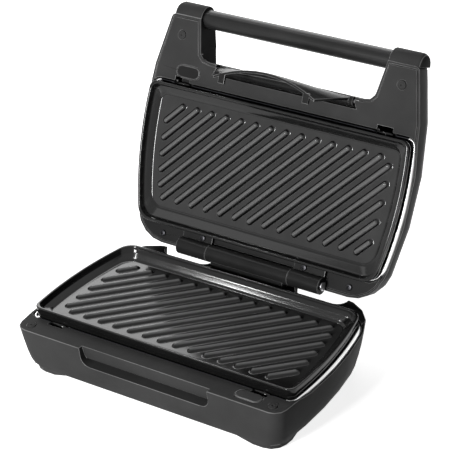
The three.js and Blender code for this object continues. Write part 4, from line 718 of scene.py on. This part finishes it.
def trayArrays():
    # one sheet of steel: the pan's inside, the crowned flange, its edge, and the underside
    sheet, wall, flange, floor = tray["sheet"], tray["wall"], tray["flange"], tray["depth"]
    deep, top = floor + sheet, flange + sheet
    levels = [
        (tray["floor"] + sheet + 1.2, deep), (tray["floor"] + sheet, deep + 0.15),
        (tray["floor"] - 1.0 + sheet, deep + 0.6), (wall + 0.6 + sheet, deep + 1.4),
        (wall + 0.2 + sheet, deep + 2.6), (wall + sheet, top - 0.9),
        (wall + sheet - 0.25, top - 0.3), (wall - 0.2, top - 0.05), (wall - 0.9, top),
        (4.5, top), (3.0, top), (2.9, top + 0.3), (2.75, top + 0.9), (2.5, top + 1.6),
        (2.2, top + 2.1), (1.85, top + 2.3), (1.45, top + 2.25), (1.05, top + 1.95),
        (0.7, top + 1.45), (0.4, top + 0.85), (0.18, top + 0.25), (0.05, top - 0.25),
        (0.0, flange + 0.15), (0.15, flange), (3.0, flange), (wall, flange),
        (wall + 0.2, flange - 0.8), (wall + 0.3, floor + 2.4), (wall + 0.7, floor + 1.2),
        (tray["floor"] - 1.0, floor + 0.3), (tray["floor"] + 0.4, floor)]
    loops = [outlineLoop(tray["form"], inset, height, tray["count"], tray["corners"])
             for inset, height in levels]
    # the pan's floor runs in to the thermostat's hole, as loops that blend from outline to circle
    centre = np.array([tray["holeX"], tray["holeY"]])
    turn = np.arctan2(*(loops[0][:, :2] - centre).T[::-1])
    ring = centre + tray["hole"] * np.stack([np.cos(turn), np.sin(turn)], 1)

    def inward(loop, height):
        return [atHeight(ring * (1 - share) + loop[:, :2] * share, height)
                for share in tray["floorShares"]]

    loops = inward(loops[0], deep)[::-1] + loops + inward(loops[-1], floor)
    points = np.concatenate(loops)
    # notches for the plate's tabs: the front edge steps back to one line there
    beside = np.abs(np.abs(points[:, 0]) - tray["notchX"]) < tray["notchHalf"]
    notch = (points[:, 1] < tray["notchY"]) & beside
    points[notch, 1] = tray["notchY"]
    points[notch, 2] = np.clip(points[notch, 2], flange, top)
    return points, ringFaces(len(loops), len(loops[0]), True)[:, ::-1]


for side in ("base", "lid"):
    node = side + "_reflector_tray"
    piece = makePiece(makeMesh("pressed_" + node, *trayArrays()), half[side], side, node,
                      "bright_steel", None, False)
    # painted shade: the strip in front of the plate, where the gap lies in shade, takes a black
    # second material
    mesh = piece.data
    # the black zinc material stands here for painted shade
    mesh.materials.append(blackZinc)
    centre = np.empty(3 * len(mesh.polygons))
    mesh.polygons.foreach_get("center", centre)
    back = np.array(half[side].inverted())
    centre = (centre.reshape(-1, 3) @ back[:3, :3].T + back[:3, 3]) / mm
    shaded = ((centre[:, 1] < tray["shadeFront"]) & (np.abs(centre[:, 0]) < tray["shadeHalf"])
             & (centre[:, 2] > tray["shadeLow"]))
    mesh.polygons.foreach_set("material_index", shaded.astype(np.int32))
print("trays made")

# degrees, mm for lens, sensor and place, m for the far end
camera = {"azimuth": 36.49, "elevation": 30.28, "roll": -4.56, "lens": 157.86, "sensor": 36.0,
          "place": (828.2, -1074.1 + yShift, 878.8 + midHeight - plate["floorDrop"]), "far": 20.0}


def makeCamera():
    azimuth, elevation, roll = (math.radians(camera[k]) for k in ("azimuth", "elevation", "roll"))
    back = Vector((math.sin(azimuth) * math.cos(elevation),
                   -math.cos(azimuth) * math.cos(elevation), math.sin(elevation)))
    right = Vector((math.cos(azimuth), math.sin(azimuth), 0))
    up = back.cross(right)
    rolledRight = right * math.cos(roll) + up * math.sin(roll)
    rolledUp = up * math.cos(roll) - right * math.sin(roll)
    data = bpy.data.cameras.new("camera")
    data.sensor_width = camera["sensor"]
    data.lens = camera["lens"]
    data.clip_end = camera["far"]
    item = bpy.data.objects.new("camera", data)
    item.matrix_world = Matrix.Translation(Vector(camera["place"]) * mm) @ Matrix(
        (rolledRight, rolledUp, back)).transposed().to_4x4()
    bpy.context.scene.collection.objects.link(item)
    bpy.context.scene.camera = item


studio = {
    "ambient": 0.03,
    "white": 0.84,
    "aim": (0, 0, 0.1),
    "floor": {"radius": 6, "sides": 96, "height": -0.0004, "tone": 3.0, "dark": 0.92,
              "light": 0.94},
    "lamps": [
        # name, place (m), size (m), watts
        ("front", (-0.25, -2.0, 0.8), 0.5, 54.0),
        ("key", (-1.2, -1.1, 1.6), 0.5, 1.2),
        ("top", (-1.0, 0.35, 1.75), 0.12, 3.0),
        ("rear", (-1.3, 1.6, 1.3), 1.6, 34.0),
    ],
}


def seenPlainly(graph):
    # 1 for the camera's own rays and those in reflections and glass, 0 for lighting
    path = graph.add("ShaderNodeLightPath")
    seen = (graph.out(path, "Is Camera Ray") + graph.out(path, "Is Glossy Ray")
            + graph.out(path, "Is Transmission Ray"))
    return graph.ramp(seen, 0.0, 1.0)


def makeStudio():
    world = bpy.data.worlds.new("studio")
    bpy.context.scene.world = world
    world.use_nodes = True
    graph = Graph(world)
    level = seenPlainly(graph) * (1.0 - studio["ambient"]) + studio["ambient"]
    light = graph.add("ShaderNodeBackground", None, {"Color": grey(1.0), "Strength": level})
    graph.surface(light, "ShaderNodeOutputWorld")
    for name, place, size, power in studio["lamps"]:
        data = bpy.data.lights.new(name, "AREA")
        data.shape = "SQUARE"
        data.size = size
        data.energy = power
        lamp = bpy.data.objects.new(name, data)
        lamp.location = place
        ray = Vector(studio["aim"]) - Vector(place)
        lamp.rotation_euler = ray.to_track_quat("-Z", "Y").to_euler()
        bpy.context.scene.collection.objects.link(lamp)


def makeFloor():
    # a wide round sheet just below the feet, plain white
    look = studio["floor"]
    angle = np.linspace(0, 2 * math.pi, look["sides"] + 1)[:-1]
    points = atHeight(look["radius"] * np.stack([np.cos(angle), np.sin(angle)], 1), look["height"])
    mesh = bpy.data.meshes.new("floor")
    mesh.from_pydata(points.tolist(), [], [tuple(range(look["sides"]))])
    floor = bpy.data.objects.new("floor", mesh)
    bpy.context.scene.collection.objects.link(floor)
    material, graph = newMaterial("floor white")
    tone = graph.mix(graph.noise(look["tone"]), grey(look["dark"]), grey(look["light"]))
    paper = graph.add("ShaderNodeBsdfDiffuse", None, {"Color": tone})
    strength = seenPlainly(graph) * studio["white"]
    white = graph.add("ShaderNodeEmission", None, {"Color": grey(1.0), "Strength": strength})
    both = {0: graph.out(paper), 1: graph.out(white)}
    graph.surface(graph.add("ShaderNodeAddShader", None, both))
    mesh.materials.append(material)


makeCamera()
makeStudio()
makeFloor()
bpy.context.scene.view_settings.view_transform = "Standard"
print("camera and studio made")
